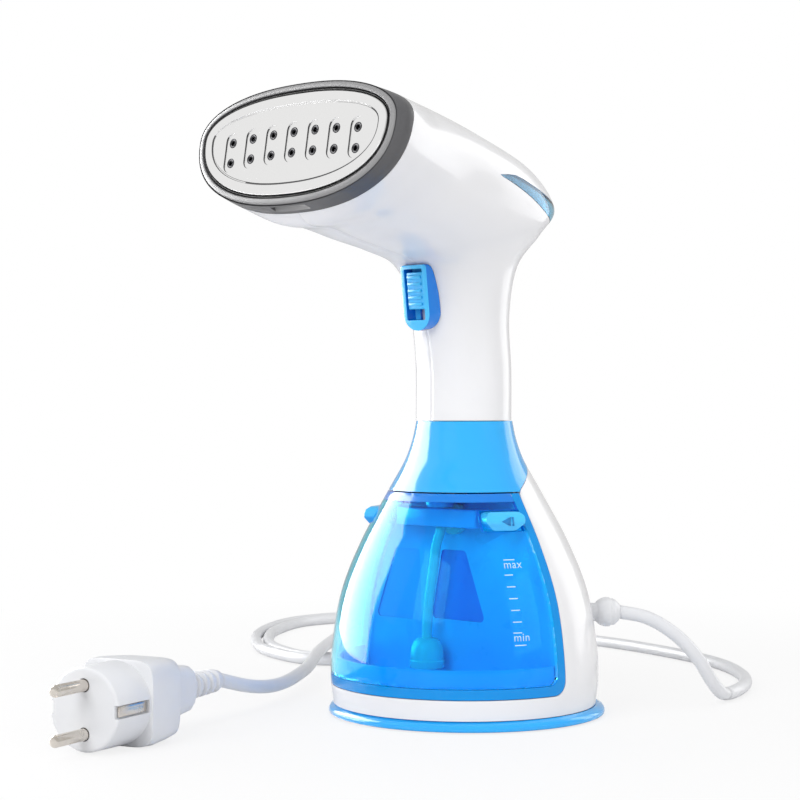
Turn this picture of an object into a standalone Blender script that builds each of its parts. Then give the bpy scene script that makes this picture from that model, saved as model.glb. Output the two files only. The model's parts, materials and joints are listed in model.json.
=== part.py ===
"""Handheld garment steamer, as an assembly of separate solids.

The nozzle faces -Y, +Z is up and +X is the user's left. The origin is on the axis of the turned body at
floor level. Dimensions are in millimetres and MM turns them into Blender's metres.
"""

import math

import bmesh
import bpy
from mathutils import Matrix, Vector

MM = 0.001
GAP = 0.3
SEGMENTS = 40
FAR = 80.0

# Turned body: radius against height, from the base ring up to the neck.
BODY = [
    (4, 57.4),
    (16, 58.7),
    (34, 57.6),
    (54, 53.8),
    (76, 45.0),
    (97.5, 33.4),
    (113, 25.1),
    (121, 22.5),
    (128, 21.1),
]
BODY_WALL = 2.2
NECK_SEAM = 128.0
TANK_TOP = 97.5
TANK_FLOOR = 13.4
SPLIT_Y = -2.6
RING_TOP = 4.6
BASE_Y = 1.5
FOOT_H = 0.9
PLATE_LOW, PLATE_HIGH = 1.2, 4.2

# Handle and head: lower or front point (y, z), upper or rear point (y, z), half width, squareness and how far
# along from the first point to the second the section is widest.
HEAD = [
    ((-21.5, 128), (20.5, 128), 21.0, 2.0, 0.5),
    ((-21.5, 150), (20.5, 150), 21.0, 2.0, 0.5),
    ((-24.5, 169), (20, 175), 20.5, 2.0, 0.5),
    ((-26.5, 184), (23.5, 198), 22.5, 2.2, 0.5),
    ((-32, 195.5), (34.5, 212), 26.5, 2.8, 0.5),
    ((-49, 200), (44, 225), 32.0, 2.5, 0.5),
    ((-66.5, 203.5), (22, 241), 37.0, 2.5, 0.5),
    ((-81.5, 207), (-19, 252.5), 41.5, 2.5, 0.53),
    ((-94.5, 207.5), (-59, 260.5), 50.0, 2.2, 0.57),
    ((-102, 212), (-92.5, 262), 58.0, 2.28, 0.65),
    ((-110, 215), (-101.5, 264.5), 56.5, 2.28, 0.59),
]
FACE = len(HEAD) - 1
BEZEL_BACK = FACE - 1
HEAD_WALL = 2.4
HEAD_ROWS = 19
HALF_STEPS = 10

# Nozzle face: its tilt, and the middle of its widest line.
FACE_TILT = math.radians(10.0)
FACE_ROTATION = (math.radians(90) - FACE_TILT, 0, 0)
FACE_CENTRE = (0, -104.8, 244.2)
HOLE_PITCH = 12.0
HOLE_ROW_PITCH = 8.5
HOLE_COLUMNS = 7
HOLE_DROP = 5.2
HOLE_ARCH = 1.4
HOLE_R = 1.6

# Steam switch on the front of the neck.
SWITCH_CENTRE = (0, -32.2, 180.65)
SWITCH_LEAN = math.radians(6.5)
SWITCH_W, SWITCH_H = 15.0, 28.3
WINDOW_W, WINDOW_H, WINDOW_UP = 10.4, 22.0, 1.45
SLIDER_W, SLIDER_H, SLIDER_UP = 9.7, 16.0, 3.0
WELL_DEPTH = 5.6
PLUNGER_Z = 180.0

# Tank release buttons.
BUTTON_AZIMUTH = math.radians(65)
BUTTON_Z = 86.0
BUTTON_W, BUTTON_H = 18.0, 7.8
BUTTON_PROUD = 3.8

# Screws that hold the two housing halves: (y, z).
HOUSING_SCREWS = [(13.5, 166.0), (-40.0, 236.0)]
BOSS_REACH = 60.0

# Solenoid pump in the handle, on the axis.
PUMP_LOW, PUMP_HIGH = 132.0, 160.0
PISTON_LOW, PISTON_HIGH = 138.0, 150.0
SPRING_TOP = 157.7

# Power cord.
CORD_R = 3.0
BALL_R = 6.5
BALL_CENTRE = (41.1, 49.0, 43.0)
COIL_CENTRE = (-208.0, 136.0)
COIL_ACROSS, COIL_ALONG, COIL_STEP = 52.0, 102.0, 7.0
VIEW_TURN = math.radians(43)

# Mains plug and travel adapter, along a line on the floor from the adapter's pins to the plug's cord.
PLUG_START = (-33.0, -198.0)
PLUG_TURN = math.radians(15)
PLUG_Z = 17.4
PIN_PITCH, BLADE_PITCH = 19.0, 12.7


def colour(red, green, blue, alpha=1.0):
    return red, green, blue, alpha


MATERIALS = {
    "white": (colour(0.90, 0.90, 0.91), 0.18, 0.0),
    "grey": (colour(0.13, 0.13, 0.15), 0.35, 0.0),
    "steel": (colour(0.80, 0.80, 0.80), 0.15, 1.0),
    "aluminium": (colour(0.72, 0.73, 0.75), 0.4, 1.0),
    "sky": (colour(0.08, 0.45, 1.0), 0.2, 0.0),
    "cyan": (colour(0.12, 0.66, 1.0), 0.25, 0.0),
    "tank": (colour(0.0, 0.26, 0.85, 0.5), 0.08, 0.0),
    "lens": (colour(0.35, 0.75, 1.0, 0.6), 0.05, 0.0),
    "rubber": (colour(0.03, 0.03, 0.03), 0.7, 0.0),
    "silicone": (colour(0.85, 0.88, 0.9, 0.7), 0.35, 0.0),
    "copper": (colour(0.8, 0.42, 0.2), 0.3, 1.0),
    "board": (colour(0.03, 0.25, 0.1), 0.5, 0.0),
    "nickel": (colour(0.75, 0.72, 0.68), 0.2, 1.0),
    "cord": (colour(0.82, 0.83, 0.85), 0.35, 0.0),
}


# ---------------------------------------------------------------- scene and naming

for old in list(bpy.data.objects):
    bpy.data.objects.remove(old, do_unlink=True)

PARTS = bpy.data.collections.new("garment_steamer")
CUTTERS = bpy.data.collections.new("cutters")
bpy.context.scene.collection.children.link(PARTS)
bpy.context.scene.collection.children.link(CUTTERS)


def material(key):
    found = bpy.data.materials.get(key)
    if found:
        return found
    base, roughness, metallic = MATERIALS[key]
    made = bpy.data.materials.new(key)
    made.use_nodes = True
    shader = made.node_tree.nodes["Principled BSDF"]
    shader.inputs["Base Color"].default_value = base
    shader.inputs["Alpha"].default_value = base[3]
    shader.inputs["Roughness"].default_value = roughness
    shader.inputs["Metallic"].default_value = metallic
    made.diffuse_color = base
    return made


def add(name, data, finish):
    """An object in the parts, or with no finish a hidden cutter."""
    made = bpy.data.objects.new(name, data)
    if finish:
        PARTS.objects.link(made)
        data.materials.append(material(finish))
    else:
        CUTTERS.objects.link(made)
        made.hide_render = True
        made.display_type = "WIRE"
    return made


def place(obj, location=(0, 0, 0), rotation=(0, 0, 0)):
    obj.location = Vector(location) * MM
    obj.rotation_euler = rotation
    return obj


def slide_empty(name, location, children):
    """An empty on a joint's axis that carries the pieces of one moving body."""
    empty = bpy.data.objects.new(name, None)
    empty.empty_display_size = 0.01
    PARTS.objects.link(empty)
    place(empty, location)
    for child in children:
        child.parent = empty
        child.matrix_parent_inverse = Matrix.Translation(empty.location).inverted()
    return empty


def smooth(mesh, angle=math.radians(35)):
    mesh.shade_smooth()
    mesh.set_sharp_from_angle(angle=angle)


# ---------------------------------------------------------------- solids


def from_bmesh(name, bm, finish):
    bmesh.ops.recalc_face_normals(bm, faces=bm.faces)
    mesh = bpy.data.meshes.new(name)
    bm.to_mesh(mesh)
    bm.free()
    smooth(mesh)
    return add(name, mesh, finish)


def block(name, size, finish=None):
    bm = bmesh.new()
    bmesh.ops.create_cube(bm, size=1, matrix=Matrix.Diagonal((*[side * MM for side in size], 1)))
    return from_bmesh(name, bm, finish)


def cylinder(name, radius, low, high, finish=None, segments=24):
    """A cylinder along local Z from low to high."""
    bm = bmesh.new()
    size = {"radius1": radius * MM, "radius2": radius * MM, "depth": (high - low) * MM}
    middle = Matrix.Translation((0, 0, (low + high) / 2 * MM))
    bmesh.ops.create_cone(bm, cap_ends=True, segments=segments, matrix=middle, **size)
    return from_bmesh(name, bm, finish)


def turned(name, profile, finish=None, segments=SEGMENTS, closed=False, wall=0.0):
    """A profile of (radius, height) that runs from the top down its outer side, turned about local Z."""
    bm = bmesh.new()
    points = [bm.verts.new((radius * MM, 0, height * MM)) for radius, height in profile]
    for first, second in zip(points, points[1:] + points[:1] if closed else points[1:]):
        bm.edges.new((first, second))
    mesh = bpy.data.meshes.new(name)
    bm.to_mesh(mesh)
    bm.free()
    obj = add(name, mesh, finish)
    screw = obj.modifiers.new("turn", "SCREW")
    screw.steps = screw.render_steps = segments
    screw.use_merge_vertices = True
    screw.merge_threshold = 1e-6
    if wall:
        shell = obj.modifiers.new("wall", "SOLIDIFY")
        shell.thickness = wall * MM
        shell.offset = -1
    return obj


def spline_at(knots, values, t):
    """A smooth curve through values at knots, read at t, whose slope at a knot blends those on each side."""
    slopes = [(values[i + 1] - values[i]) / (knots[i + 1] - knots[i]) for i in range(len(knots) - 1)]
    i = max(0, min(len(slopes) - 1, sum(knot <= t for knot in knots) - 1))

    def slope(k):
        if k in (0, len(slopes)):
            return slopes[min(k, len(slopes) - 1)]
        before, after = knots[k] - knots[k - 1], knots[k + 1] - knots[k]
        return (after * slopes[k - 1] + before * slopes[k]) / (before + after)

    step = knots[i + 1] - knots[i]
    s = (t - knots[i]) / step
    start = (2 * s**3 - 3 * s**2 + 1) * values[i] + (s**3 - 2 * s**2 + s) * step * slope(i)
    return start + (3 * s**2 - 2 * s**3) * values[i + 1] + (s**3 - s**2) * step * slope(i + 1)


def sampled(points, count):
    """count points along a smooth curve through the given ones."""
    knots = [0.0]
    for first, second in zip(points, points[1:]):
        knots.append(knots[-1] + (Vector(second) - Vector(first)).length)
    axes = list(zip(*points))
    ends = [knots[-1] * i / (count - 1) for i in range(count)]
    return [tuple(spline_at(knots, axis, t) for axis in axes) for t in ends]


def curve(name, points, radius, finish=None, resolution=2):
    """A round wire or hose through the points."""
    data = bpy.data.curves.new(name, "CURVE")
    data.dimensions = "3D"
    data.bevel_depth = radius * MM
    data.bevel_resolution = resolution
    data.use_fill_caps = True
    line = data.splines.new("POLY")
    line.points.add(len(points) - 1)
    for point, where in zip(line.points, points):
        point.co = (*[value * MM for value in where], 1)
    return add(name, data, finish)


def as_mesh(obj, finish=None):
    """The curve as a welded mesh that Booleans accept."""
    bpy.context.view_layer.update()
    graph = bpy.context.evaluated_depsgraph_get()
    mesh = bpy.data.meshes.new_from_object(obj.evaluated_get(graph))
    bm = bmesh.new()
    bm.from_mesh(mesh)
    bmesh.ops.remove_doubles(bm, verts=bm.verts, dist=1e-7)
    bmesh.ops.recalc_face_normals(bm, faces=bm.faces)
    bm.to_mesh(mesh)
    bm.free()
    mesh.materials.clear()
    name, matrix = obj.name, obj.matrix_world.copy()
    bpy.data.objects.remove(obj, do_unlink=True)
    smooth(mesh)
    made = add(name, mesh, finish)
    made.matrix_world = matrix
    return made


def rounded(corners, steps=6):
    """The outline through (x, y, radius) corners, with an arc at each corner that has a radius."""
    outline = []
    for i, (x, y, radius) in enumerate(corners):
        here = Vector((x, y))
        if not radius:
            outline.append(here)
            continue
        before = (Vector(corners[i - 1][:2]) - here).normalized()
        after = (Vector(corners[(i + 1) % len(corners)][:2]) - here).normalized()
        half = before.angle(after) / 2
        centre = here + (before + after).normalized() * radius / math.sin(half)
        start = here + before * radius / math.tan(half) - centre
        sweep = start.angle_signed(here + after * radius / math.tan(half) - centre)
        for k in range(steps + 1):
            arm = start.copy()
            arm.rotate(Matrix.Rotation(-sweep * k / steps, 2))
            outline.append(centre + arm)
    return [tuple(point) for point in outline]


def plate(name, outline, thickness, finish=None):
    """A flat outline in local XY, extruded by half its thickness each way."""
    data = bpy.data.curves.new(name, "CURVE")
    data.dimensions = "2D"
    data.fill_mode = "BOTH"
    data.extrude = thickness / 2 * MM
    line = data.splines.new("POLY")
    line.points.add(len(outline) - 1)
    for point, (x, y) in zip(line.points, outline):
        point.co = (x * MM, y * MM, 0, 1)
    line.use_cyclic_u = True
    return as_mesh(add(name, data, finish), finish)


def side_cutter(name, corners):
    """A (y, z) outline as seen from the side, run across the whole width."""
    return place(plate(name, rounded(corners), 4 * FAR), (0, 0, 0), (math.radians(90), 0, math.radians(90)))


def combine(obj, operation, *others):
    for other in others:
        boolean = obj.modifiers.new(operation.lower(), "BOOLEAN")
        boolean.operation = operation
        boolean.object = other
        boolean.solver = "EXACT"
    return obj


def loft(name, rings, finish=None, cap=True):
    """Rings of the same number of points joined in order; with no caps the last ring joins the first."""
    bm = bmesh.new()
    rows = [[bm.verts.new(Vector(point) * MM) for point in ring] for ring in rings]
    count = len(rings[0])
    pairs = list(zip(rows, rows[1:] if cap else rows[1:] + rows[:1]))
    for near, far in pairs:
        for i in range(count):
            j = (i + 1) % count
            bm.faces.new((near[i], near[j], far[j], far[i]))
    if cap:
        bm.faces.new(rows[0])
        bm.faces.new(rows[-1][::-1])
    return from_bmesh(name, bm, finish)


def superellipse(across, up, squareness, angle):
    def power(value):
        return math.copysign(abs(value) ** (2 / squareness), value)

    return across * power(math.cos(angle)), up * power(math.sin(angle))


# ---------------------------------------------------------------- body of revolution


def body_radius(height):
    heights, radii = zip(*BODY)
    return spline_at(heights, radii, max(heights[0], min(heights[-1], height)))


def body_profile(low, high, inset=0.0, levels=8):
    heights = [high + (low - high) * i / levels for i in range(levels + 1)]
    wall = [(body_radius(height) - inset, height) for height in heights]
    return [(0, high), *wall, (0, low)]


def rear_region(margin=0.0):
    """The side outline of the rear shell: everything behind the split, and the band under the tank."""
    m = margin
    return [
        (-FAR, RING_TOP + GAP, 0),
        (FAR, RING_TOP + GAP, 0),
        (FAR, 114 + m, 0),
        (30, 114 + m, 0),
        (18, 109 + m, 0),
        (SPLIT_Y - m, TANK_TOP + m, 6),
        (SPLIT_Y - m, TANK_FLOOR, 6),
        (-FAR, TANK_FLOOR, 0),
    ]


def make_collar():
    low, high = TANK_TOP + GAP, NECK_SEAM - GAP / 2
    shell = turned("collar", body_profile(92, 134, levels=7), "sky", wall=BODY_WALL)
    region = [(-FAR, low, 0), (FAR, low, 0), (FAR, high, 0), (-FAR, high, 0)]
    combine(shell, "INTERSECT", side_cutter("collar_region", region))
    combine(shell, "DIFFERENCE", side_cutter("collar_rear_cut", rear_region(GAP)))


def make_rear_shell():
    shell = turned("rear_shell", body_profile(-4, 124, levels=9), "white", wall=BODY_WALL)
    combine(shell, "INTERSECT", side_cutter("rear_region", rear_region()))
    outward = math.atan2(BALL_CENTRE[1], BALL_CENTRE[0])
    hole = cylinder("cord_hole", 4.3, -20, 5)
    place(hole, BALL_CENTRE, (math.radians(90), 0, outward + math.radians(90)))
    combine(shell, "DIFFERENCE", hole)


def make_chassis():
    """The inner moulding: a floor, the partition behind the tank and a tube up into the neck."""
    chassis = turned("chassis", body_profile(5, 127, inset=3.3, levels=8), "white")
    floor_low, floor_high, top = TANK_FLOOR - 2.2, TANK_FLOOR - GAP, 116
    front, back = SPLIT_Y + GAP, SPLIT_Y + 2.0
    region = [
        (-FAR, floor_low, 0),
        (FAR, floor_low, 0),
        (FAR, floor_high, 0),
        (back, floor_high, 0),
        (back, top, 0),
        (front, top, 0),
        (front, floor_high, 0),
        (-FAR, floor_high, 0),
    ]
    combine(chassis, "INTERSECT", side_cutter("chassis_region", region))
    tube = [(17.3, 133), (17.3, 110), (15.7, 110), (15.7, 133)]
    combine(chassis, "UNION", turned("neck_tube", tube, closed=True))
    for i, (x, y) in enumerate(base_screw_places()):
        post = cylinder(f"post_{i}", 4, 4.6, 12, segments=16)
        combine(chassis, "UNION", place(post, (x, y, 0)))
        hole = cylinder(f"post_hole_{i}", 1.8, 0, 12.2, segments=12)
        combine(chassis, "DIFFERENCE", place(hole, (x, y, 0)))
    dock = cylinder("dock_hole", 3.4, -6, 6, segments=16)
    combine(chassis, "DIFFERENCE", place(dock, (0, 0, VALVE_Z), (math.radians(90), 0, 0)))


def base_screw_places():
    turns = [math.radians(90 + 120 * i) for i in range(3)]
    return [(34 * math.cos(turn), BASE_Y + 34 * math.sin(turn)) for turn in turns]


def make_base():
    """The ring, and the plate inside it with its central pad down on the floor between the three feet."""
    ring = [(50, 4.4), (57.6, RING_TOP), (59.6, 3.8), (60.7, 2.6), (61, 1.4), (60.4, 0.5), (50, 0.5)]
    place(turned("base_ring", ring, "sky", closed=True), (0, BASE_Y, 0))
    disc = [(0, PLATE_HIGH), (49.6, PLATE_HIGH), (49.6, PLATE_LOW), (14, PLATE_LOW), (13, 0), (0, 0)]
    base_plate = place(turned("base_plate", disc, "sky"), (0, BASE_Y, 0))
    for i, (x, y) in enumerate(base_screw_places()):
        bore = place(cylinder(f"plate_bore_{i}", 3.5, 0, 2.8, segments=12), (x, y, 0))
        hole = place(cylinder(f"plate_hole_{i}", 1.8, 2, 6, segments=12), (x, y, 0))
        combine(base_plate, "DIFFERENCE", bore, hole)
        screw(f"base_screw_{i + 1}", 3.1, 1.2, 1.4, 10, (x, y, 1.4), (0, 0, 0))
    for i in range(3):
        turn = math.radians(30 + 120 * i)
        where = (42 * math.cos(turn), BASE_Y + 42 * math.sin(turn), 0)
        place(cylinder(f"foot_{i + 1}", 5, 0, FOOT_H, "rubber", segments=16), where)


def screw(name, head_r, head_h, shank_r, length, location, rotation):
    """A pan head from local z = 0 up to head_h with its shank above it."""
    profile = [(0, length), (shank_r, length), (shank_r, head_h), (head_r, head_h), (head_r, 0), (0, 0)]
    return place(turned(name, profile, "steel", segments=12), location, rotation)


# ---------------------------------------------------------------- tank

TANK_LOW, TANK_HIGH = TANK_FLOOR + GAP, TANK_TOP - GAP
FRAME_BACK = SPLIT_Y - GAP
SHELL_BACK = -7.3
SHELL_LOW = 18.2
INSIDE_LOW = 15.9
PLUG_Y = -16.0
VALVE_Z = 85.0
HOSE_X, HOSE_Y = -9.0, -14.5


def front_region(back, low, radius):
    return [(-FAR, low, 0), (back, low, radius), (back, 100, 0), (-FAR, 100, 0)]


def make_tank():
    shell = turned("tank_shell", body_profile(TANK_LOW, TANK_HIGH), "tank", wall=2.0)
    combine(shell, "INTERSECT", side_cutter("shell_region", front_region(SHELL_BACK, SHELL_LOW, 4.5)))
    opening = (20, BUTTON_W + 0.8, BUTTON_H + 0.8)
    windows = [at_button(block("button_window", opening), side) for side in (1, -1)]
    combine(shell, "DIFFERENCE", *windows)
    combine(shell, "DIFFERENCE", place(cylinder("filler_hole", 6.5, 90, 99), (0, PLUG_Y, 0)))
    combine(shell, "DIFFERENCE", place(cylinder("filler_seat", 8.3, 96.2, 99), (0, PLUG_Y, 0)))

    frame = turned("tank_frame", body_profile(TANK_LOW - 3, TANK_HIGH), "cyan")
    combine(frame, "INTERSECT", side_cutter("frame_region", front_region(FRAME_BACK, TANK_LOW, 5.8)))
    cut = front_region(SHELL_BACK + GAP, SHELL_LOW - GAP, 4.8)
    combine(frame, "DIFFERENCE", side_cutter("frame_shell_cut", cut))
    pocket = turned("tank_inside", body_profile(INSIDE_LOW, 93, inset=4.5))
    combine(pocket, "INTERSECT", side_cutter("inside_region", front_region(-5.0, 0, 0)))
    combine(frame, "DIFFERENCE", pocket, *windows)
    valve_place = ((0, 0, VALVE_Z), (math.radians(90), 0, 0))
    combine(frame, "DIFFERENCE", place(cylinder("valve_hole", 4.9, 2, 9), *valve_place))

    valve_profile = [(4.6, 9.5), (4.6, 8.4), (7, 8.4), (7, 5.4), (4.6, 5.4)]
    valve_profile += [(4.6, 2.9), (2.1, 2.9), (2.1, 9.5)]
    valve = place(turned("tank_valve", valve_profile, "white", segments=20, closed=True), *valve_place)

    plug_profile = [(0, 97.1), (8, 97.1), (8, 96.5), (6.2, 96.5), (6.0, 90.5), (0, 90.5)]
    plug = place(turned("filler_plug", plug_profile, "silicone", segments=20), (0, PLUG_Y, 0))

    path = [
        (0, -10.2, VALVE_Z),
        (-0.4, -11.6, VALVE_Z - 0.4),
        (0.2 * HOSE_X, HOSE_Y, 78),
        (0.6 * HOSE_X, HOSE_Y, 62),
        (0.93 * HOSE_X, HOSE_Y, 44),
        (HOSE_X, HOSE_Y, 34),
        (HOSE_X, HOSE_Y, 26),
    ]
    hose = curve("dip_hose", sampled(path, 18), 2.2, "silicone")
    weight_profile = [(2.6, 33), (5, 31.8), (7, 28), (7.6, 22), (7.6, 20), (2.6, 20)]
    weight = turned("hose_weight", weight_profile, "white", segments=20, closed=True)
    place(weight, (HOSE_X, HOSE_Y, 0))

    carrier = place(block("latch_carrier", (46, 11, 8), "cyan"), (0, -14, BUTTON_Z))
    combine(carrier, "DIFFERENCE", place(block("carrier_channel", (24, 12.2, 12)), (0, -11.1, BUTTON_Z)))
    return [shell, frame, valve, plug, hose, weight, carrier]


def at_button(obj, side, inwards=0.0):
    """Local X points outwards at the button, and local Y runs along its width."""
    turn = BUTTON_AZIMUTH - math.radians(90)
    reach = body_radius(BUTTON_Z) - inwards
    where = (side * reach * math.sin(BUTTON_AZIMUTH), -reach * math.cos(BUTTON_AZIMUTH), BUTTON_Z)
    return place(obj, where, (0, 0, turn if side > 0 else math.pi - turn))


def make_button(side, name):
    profile = [(-5.5, -3.9), (-5.5, 3.9), (1.6, 3.9), (BUTTON_PROUD, 1.2), (BUTTON_PROUD, -1.4), (2.2, -3.9)]
    button = plate(name, profile, BUTTON_W, "cyan")
    at_button(button, side)
    turn = button.rotation_euler.z
    button.rotation_euler = (math.radians(90), 0, turn)
    return button


def make_button_spring(side, name):
    turns, per_turn, radius = 4, 9, 2.4
    points = []
    for i in range(turns * per_turn + 1):
        angle = 2 * math.pi * i / per_turn
        along = -12.4 + 3.7 * i / (turns * per_turn)
        points.append((along, radius * math.cos(angle), radius * math.sin(angle)))
    return at_button(curve(name, points, 0.35, "steel", resolution=0), side)


# ---------------------------------------------------------------- head and handle


def head_section(t):
    knots = list(range(len(HEAD)))
    values = list(zip(*[(*low, *high, width, power, share) for low, high, width, power, share in HEAD]))
    y0, z0, y1, z1, width, power, share = (spline_at(knots, row, t) for row in values)
    return Vector((y0, z0)), Vector((y1, z1)), width, power, share


def head_point(t, angle, inset=0.0, lift=0.0):
    """A point of section t, with 90 degrees at its rear or top, moved in by inset and lifted off the face."""
    low, high, width, power, share = head_section(t)
    length = (high - low).length
    along = (high - low) / length
    up = length * (1 - share) if math.sin(angle) > 0 else length * share
    x, v = superellipse(width - inset, up - inset, power, angle)
    y, z = low + along * (length * share + v)
    return x, y - lift * math.cos(FACE_TILT), z + lift * math.sin(FACE_TILT)


def full_ring(t, inset=0.0, lift=0.0, count=40):
    return [head_point(t, 2 * math.pi * i / count, inset, lift) for i in range(count)]


def half_section(t, side):
    """The C-shaped section of one housing half, outer arc then inner arc."""
    angles = [math.radians(-90 + 180 * i / HALF_STEPS) for i in range(HALF_STEPS + 1)]
    outer = [head_point(t, angle) for angle in angles]
    inner = [head_point(t, angle, HEAD_WALL) for angle in reversed(angles)]
    return [(side * max(x, GAP / 2), y, z) for x, y, z in outer + inner]


def lens_corners(margin):
    """The side outline of the leaf-shaped light band that wraps round the rear of the head."""
    upper = [(-8, 232.2), (5, 229.9), (17, 227.4), (60, 217)]
    lower = [(60, 206.8), (24, 217.6), (4, 225), (-9, 228.8)]
    tip = [(-20 - margin, 231.6, 0)]
    tip_end = [(-18 - margin, 230.8, 0)]
    return [
        *tip,
        *[(y, z + margin, 0) for y, z in upper],
        *[(y, z - margin, 0) for y, z in lower],
        *tip_end,
    ]


def make_housing(side, name):
    rings = [half_section(BEZEL_BACK * i / HEAD_ROWS, side) for i in range(HEAD_ROWS + 1)]
    half = loft(name, rings, "white")
    combine(half, "INTERSECT", place(block(f"{name}_trim", (300, 300, 200)), (0, 0, NECK_SEAM + 0.15 + 100)))
    combine(half, "DIFFERENCE", side_cutter(f"{name}_lens_cut", lens_corners(GAP)))
    tub_depth = 2 * (WELL_DEPTH + 1.6)
    tub_pocket = block(f"{name}_tub_pocket", (WINDOW_W + 2.6, WINDOW_H + 2.6, tub_depth))
    stem_slot = place(block(f"{name}_stem_slot", (6, 30, 18)), (0, -30, 180.5))
    combine(half, "DIFFERENCE", place(tub_pocket, on_switch(WINDOW_UP, 0), SWITCH_ROTATION), stem_slot)
    core = solid_head(f"{name}_core", HEAD_WALL / 2)
    for i, (y, z) in enumerate(HOUSING_SCREWS):
        turn = (0, math.radians(90 * side), 0)
        boss = place(cylinder(f"{name}_boss_{i}", 4.4, GAP / 2, BOSS_REACH, segments=16), (0, y, z), turn)
        combine(half, "UNION", combine(boss, "INTERSECT", core))
        if side > 0:
            hole = cylinder(f"{name}_pilot_{i}", 1.8, -2, 10, segments=16)
        else:
            hole = cylinder(f"{name}_clearance_{i}", 1.8, -2, 20, segments=16)
            counterbore = cylinder(f"{name}_counterbore_{i}", 3.1, 5, BOSS_REACH)
            combine(half, "DIFFERENCE", place(counterbore, (0, y, z), turn))
        combine(half, "DIFFERENCE", place(hole, (0, y, z), turn))


def solid_head(name, inset):
    return loft(name, [full_ring(BEZEL_BACK * i / HEAD_ROWS, inset) for i in range(HEAD_ROWS + 1)])


def make_lens():
    outer = [full_ring(3.5 + 4 * i / 14) for i in range(15)]
    inner = [full_ring(3.5 + 4 * i / 14, 2.0) for i in range(15)]
    lens = loft("indicator_lens", outer + inner[::-1], "lens", cap=False)
    combine(lens, "INTERSECT", side_cutter("lens_region", lens_corners(0)))
    front = place(block("lens_front_cut", (200, 200, 200)), (0, -122, 230))
    return combine(lens, "DIFFERENCE", front)


def make_nozzle():
    bezel_rings = [
        full_ring(BEZEL_BACK, 0, 0.3),
        full_ring(BEZEL_BACK + 0.5),
        full_ring(FACE, 0.3, -1.6),
        full_ring(FACE, 1.4, -0.1),
        full_ring(FACE, 2.9, 0),
        full_ring(FACE, 3.1, -5),
        full_ring(FACE, 5.0, -7.4),
    ]
    loft("nozzle_bezel", bezel_rings, "grey", cap=False)
    seal_places = [(3.3, -0.9), (4.0, -0.9), (4.0, -3.4), (3.3, -3.4)]
    loft("nozzle_seal", [full_ring(FACE, *where) for where in seal_places], "rubber", cap=False)
    plate_places = [(4.3, -2.4), (4.3, -0.5), (5.0, 0)]
    steam_plate = loft("steam_plate", [full_ring(FACE, *where) for where in plate_places], "steel")
    for i, (x, v) in enumerate(hole_places()):
        drill = cylinder(f"steam_hole_{i}", HOLE_R, -8, 4, segments=8)
        combine(steam_plate, "DIFFERENCE", place(drill, on_face(x, v, 0), FACE_ROTATION))
    tray = loft("diffuser_tray", [full_ring(FACE, 7, lift, 28) for lift in (-2.7, -9.2)], "aluminium")
    combine(tray, "DIFFERENCE", loft("tray_hollow", [full_ring(FACE, 8.4, lift, 28) for lift in (0, -7.8)]))
    inlet = cylinder("tray_inlet", 3, -20, 0)
    combine(tray, "DIFFERENCE", place(inlet, on_face(0, -HOLE_DROP, 0), FACE_ROTATION))


def on_face(x, up, depth):
    """A place on the nozzle's face: across, up along the face and depth behind it."""
    cos, sin = math.cos(FACE_TILT), math.sin(FACE_TILT)
    return x, FACE_CENTRE[1] + up * sin + depth * cos, FACE_CENTRE[2] + up * cos - depth * sin


def hole_places():
    middle = (HOLE_COLUMNS - 1) / 2
    places = []
    for row in (1, -1):
        for column in range(HOLE_COLUMNS):
            arch = HOLE_ARCH * (1 - ((column - middle) / middle) ** 2)
            places.append(((column - middle) * HOLE_PITCH, -HOLE_DROP + row * HOLE_ROW_PITCH / 2 + arch))
    return places


def make_boiler():
    """The cast body and its cover, clamped round the heating element behind the nozzle's plate."""
    corners = [(-33, -15, 13), (33, -15, 13), (33, 15, 13), (-33, 15, 13)]
    drop, split = -8.0, 30.15
    body = plate("boiler_body", rounded(corners), 18, "aluminium")
    place(body, on_face(0, drop, split - 9.15), FACE_ROTATION)
    cover = plate("boiler_cover", rounded(corners), 6, "aluminium")
    place(cover, on_face(0, drop, split + 3.15), FACE_ROTATION)
    element = curve("heating_element", u_path(8, 22, -38), 3.1, "steel")
    place(element, on_face(0, drop, split), FACE_ROTATION)
    groove = as_mesh(curve("element_groove", u_path(8, 22, -60), 3.5))
    place(groove, on_face(0, drop, split), FACE_ROTATION)
    combine(body, "DIFFERENCE", groove)
    combine(cover, "DIFFERENCE", groove)
    thermostat = cylinder("thermostat", 8, -6.5, 0, "steel")
    place(thermostat, on_face(14, drop, split + 6.45), FACE_ROTATION)
    fuse = cylinder("thermal_fuse", 2, -6, 6, "steel", segments=16)
    place(fuse, on_face(-14, drop + 6, split + 8.75), (0, math.radians(90), 0))


def u_path(half_gap, bend_x, end_x):
    """Two legs along X joined by a half circle."""
    arc = [math.radians(90 - 180 * i / 10) for i in range(11)]
    bend = [(bend_x + half_gap * math.cos(a), half_gap * math.sin(a), 0) for a in arc]
    return [(end_x, half_gap, 0), *bend, (end_x, -half_gap, 0)]


# ---------------------------------------------------------------- switch


SWITCH_ROTATION = (math.radians(90) + SWITCH_LEAN, 0, 0)


def on_switch(up, depth):
    cos, sin = math.cos(SWITCH_LEAN), math.sin(SWITCH_LEAN)
    return 0, SWITCH_CENTRE[1] - up * sin + depth * cos, SWITCH_CENTRE[2] + up * cos + depth * sin


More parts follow.
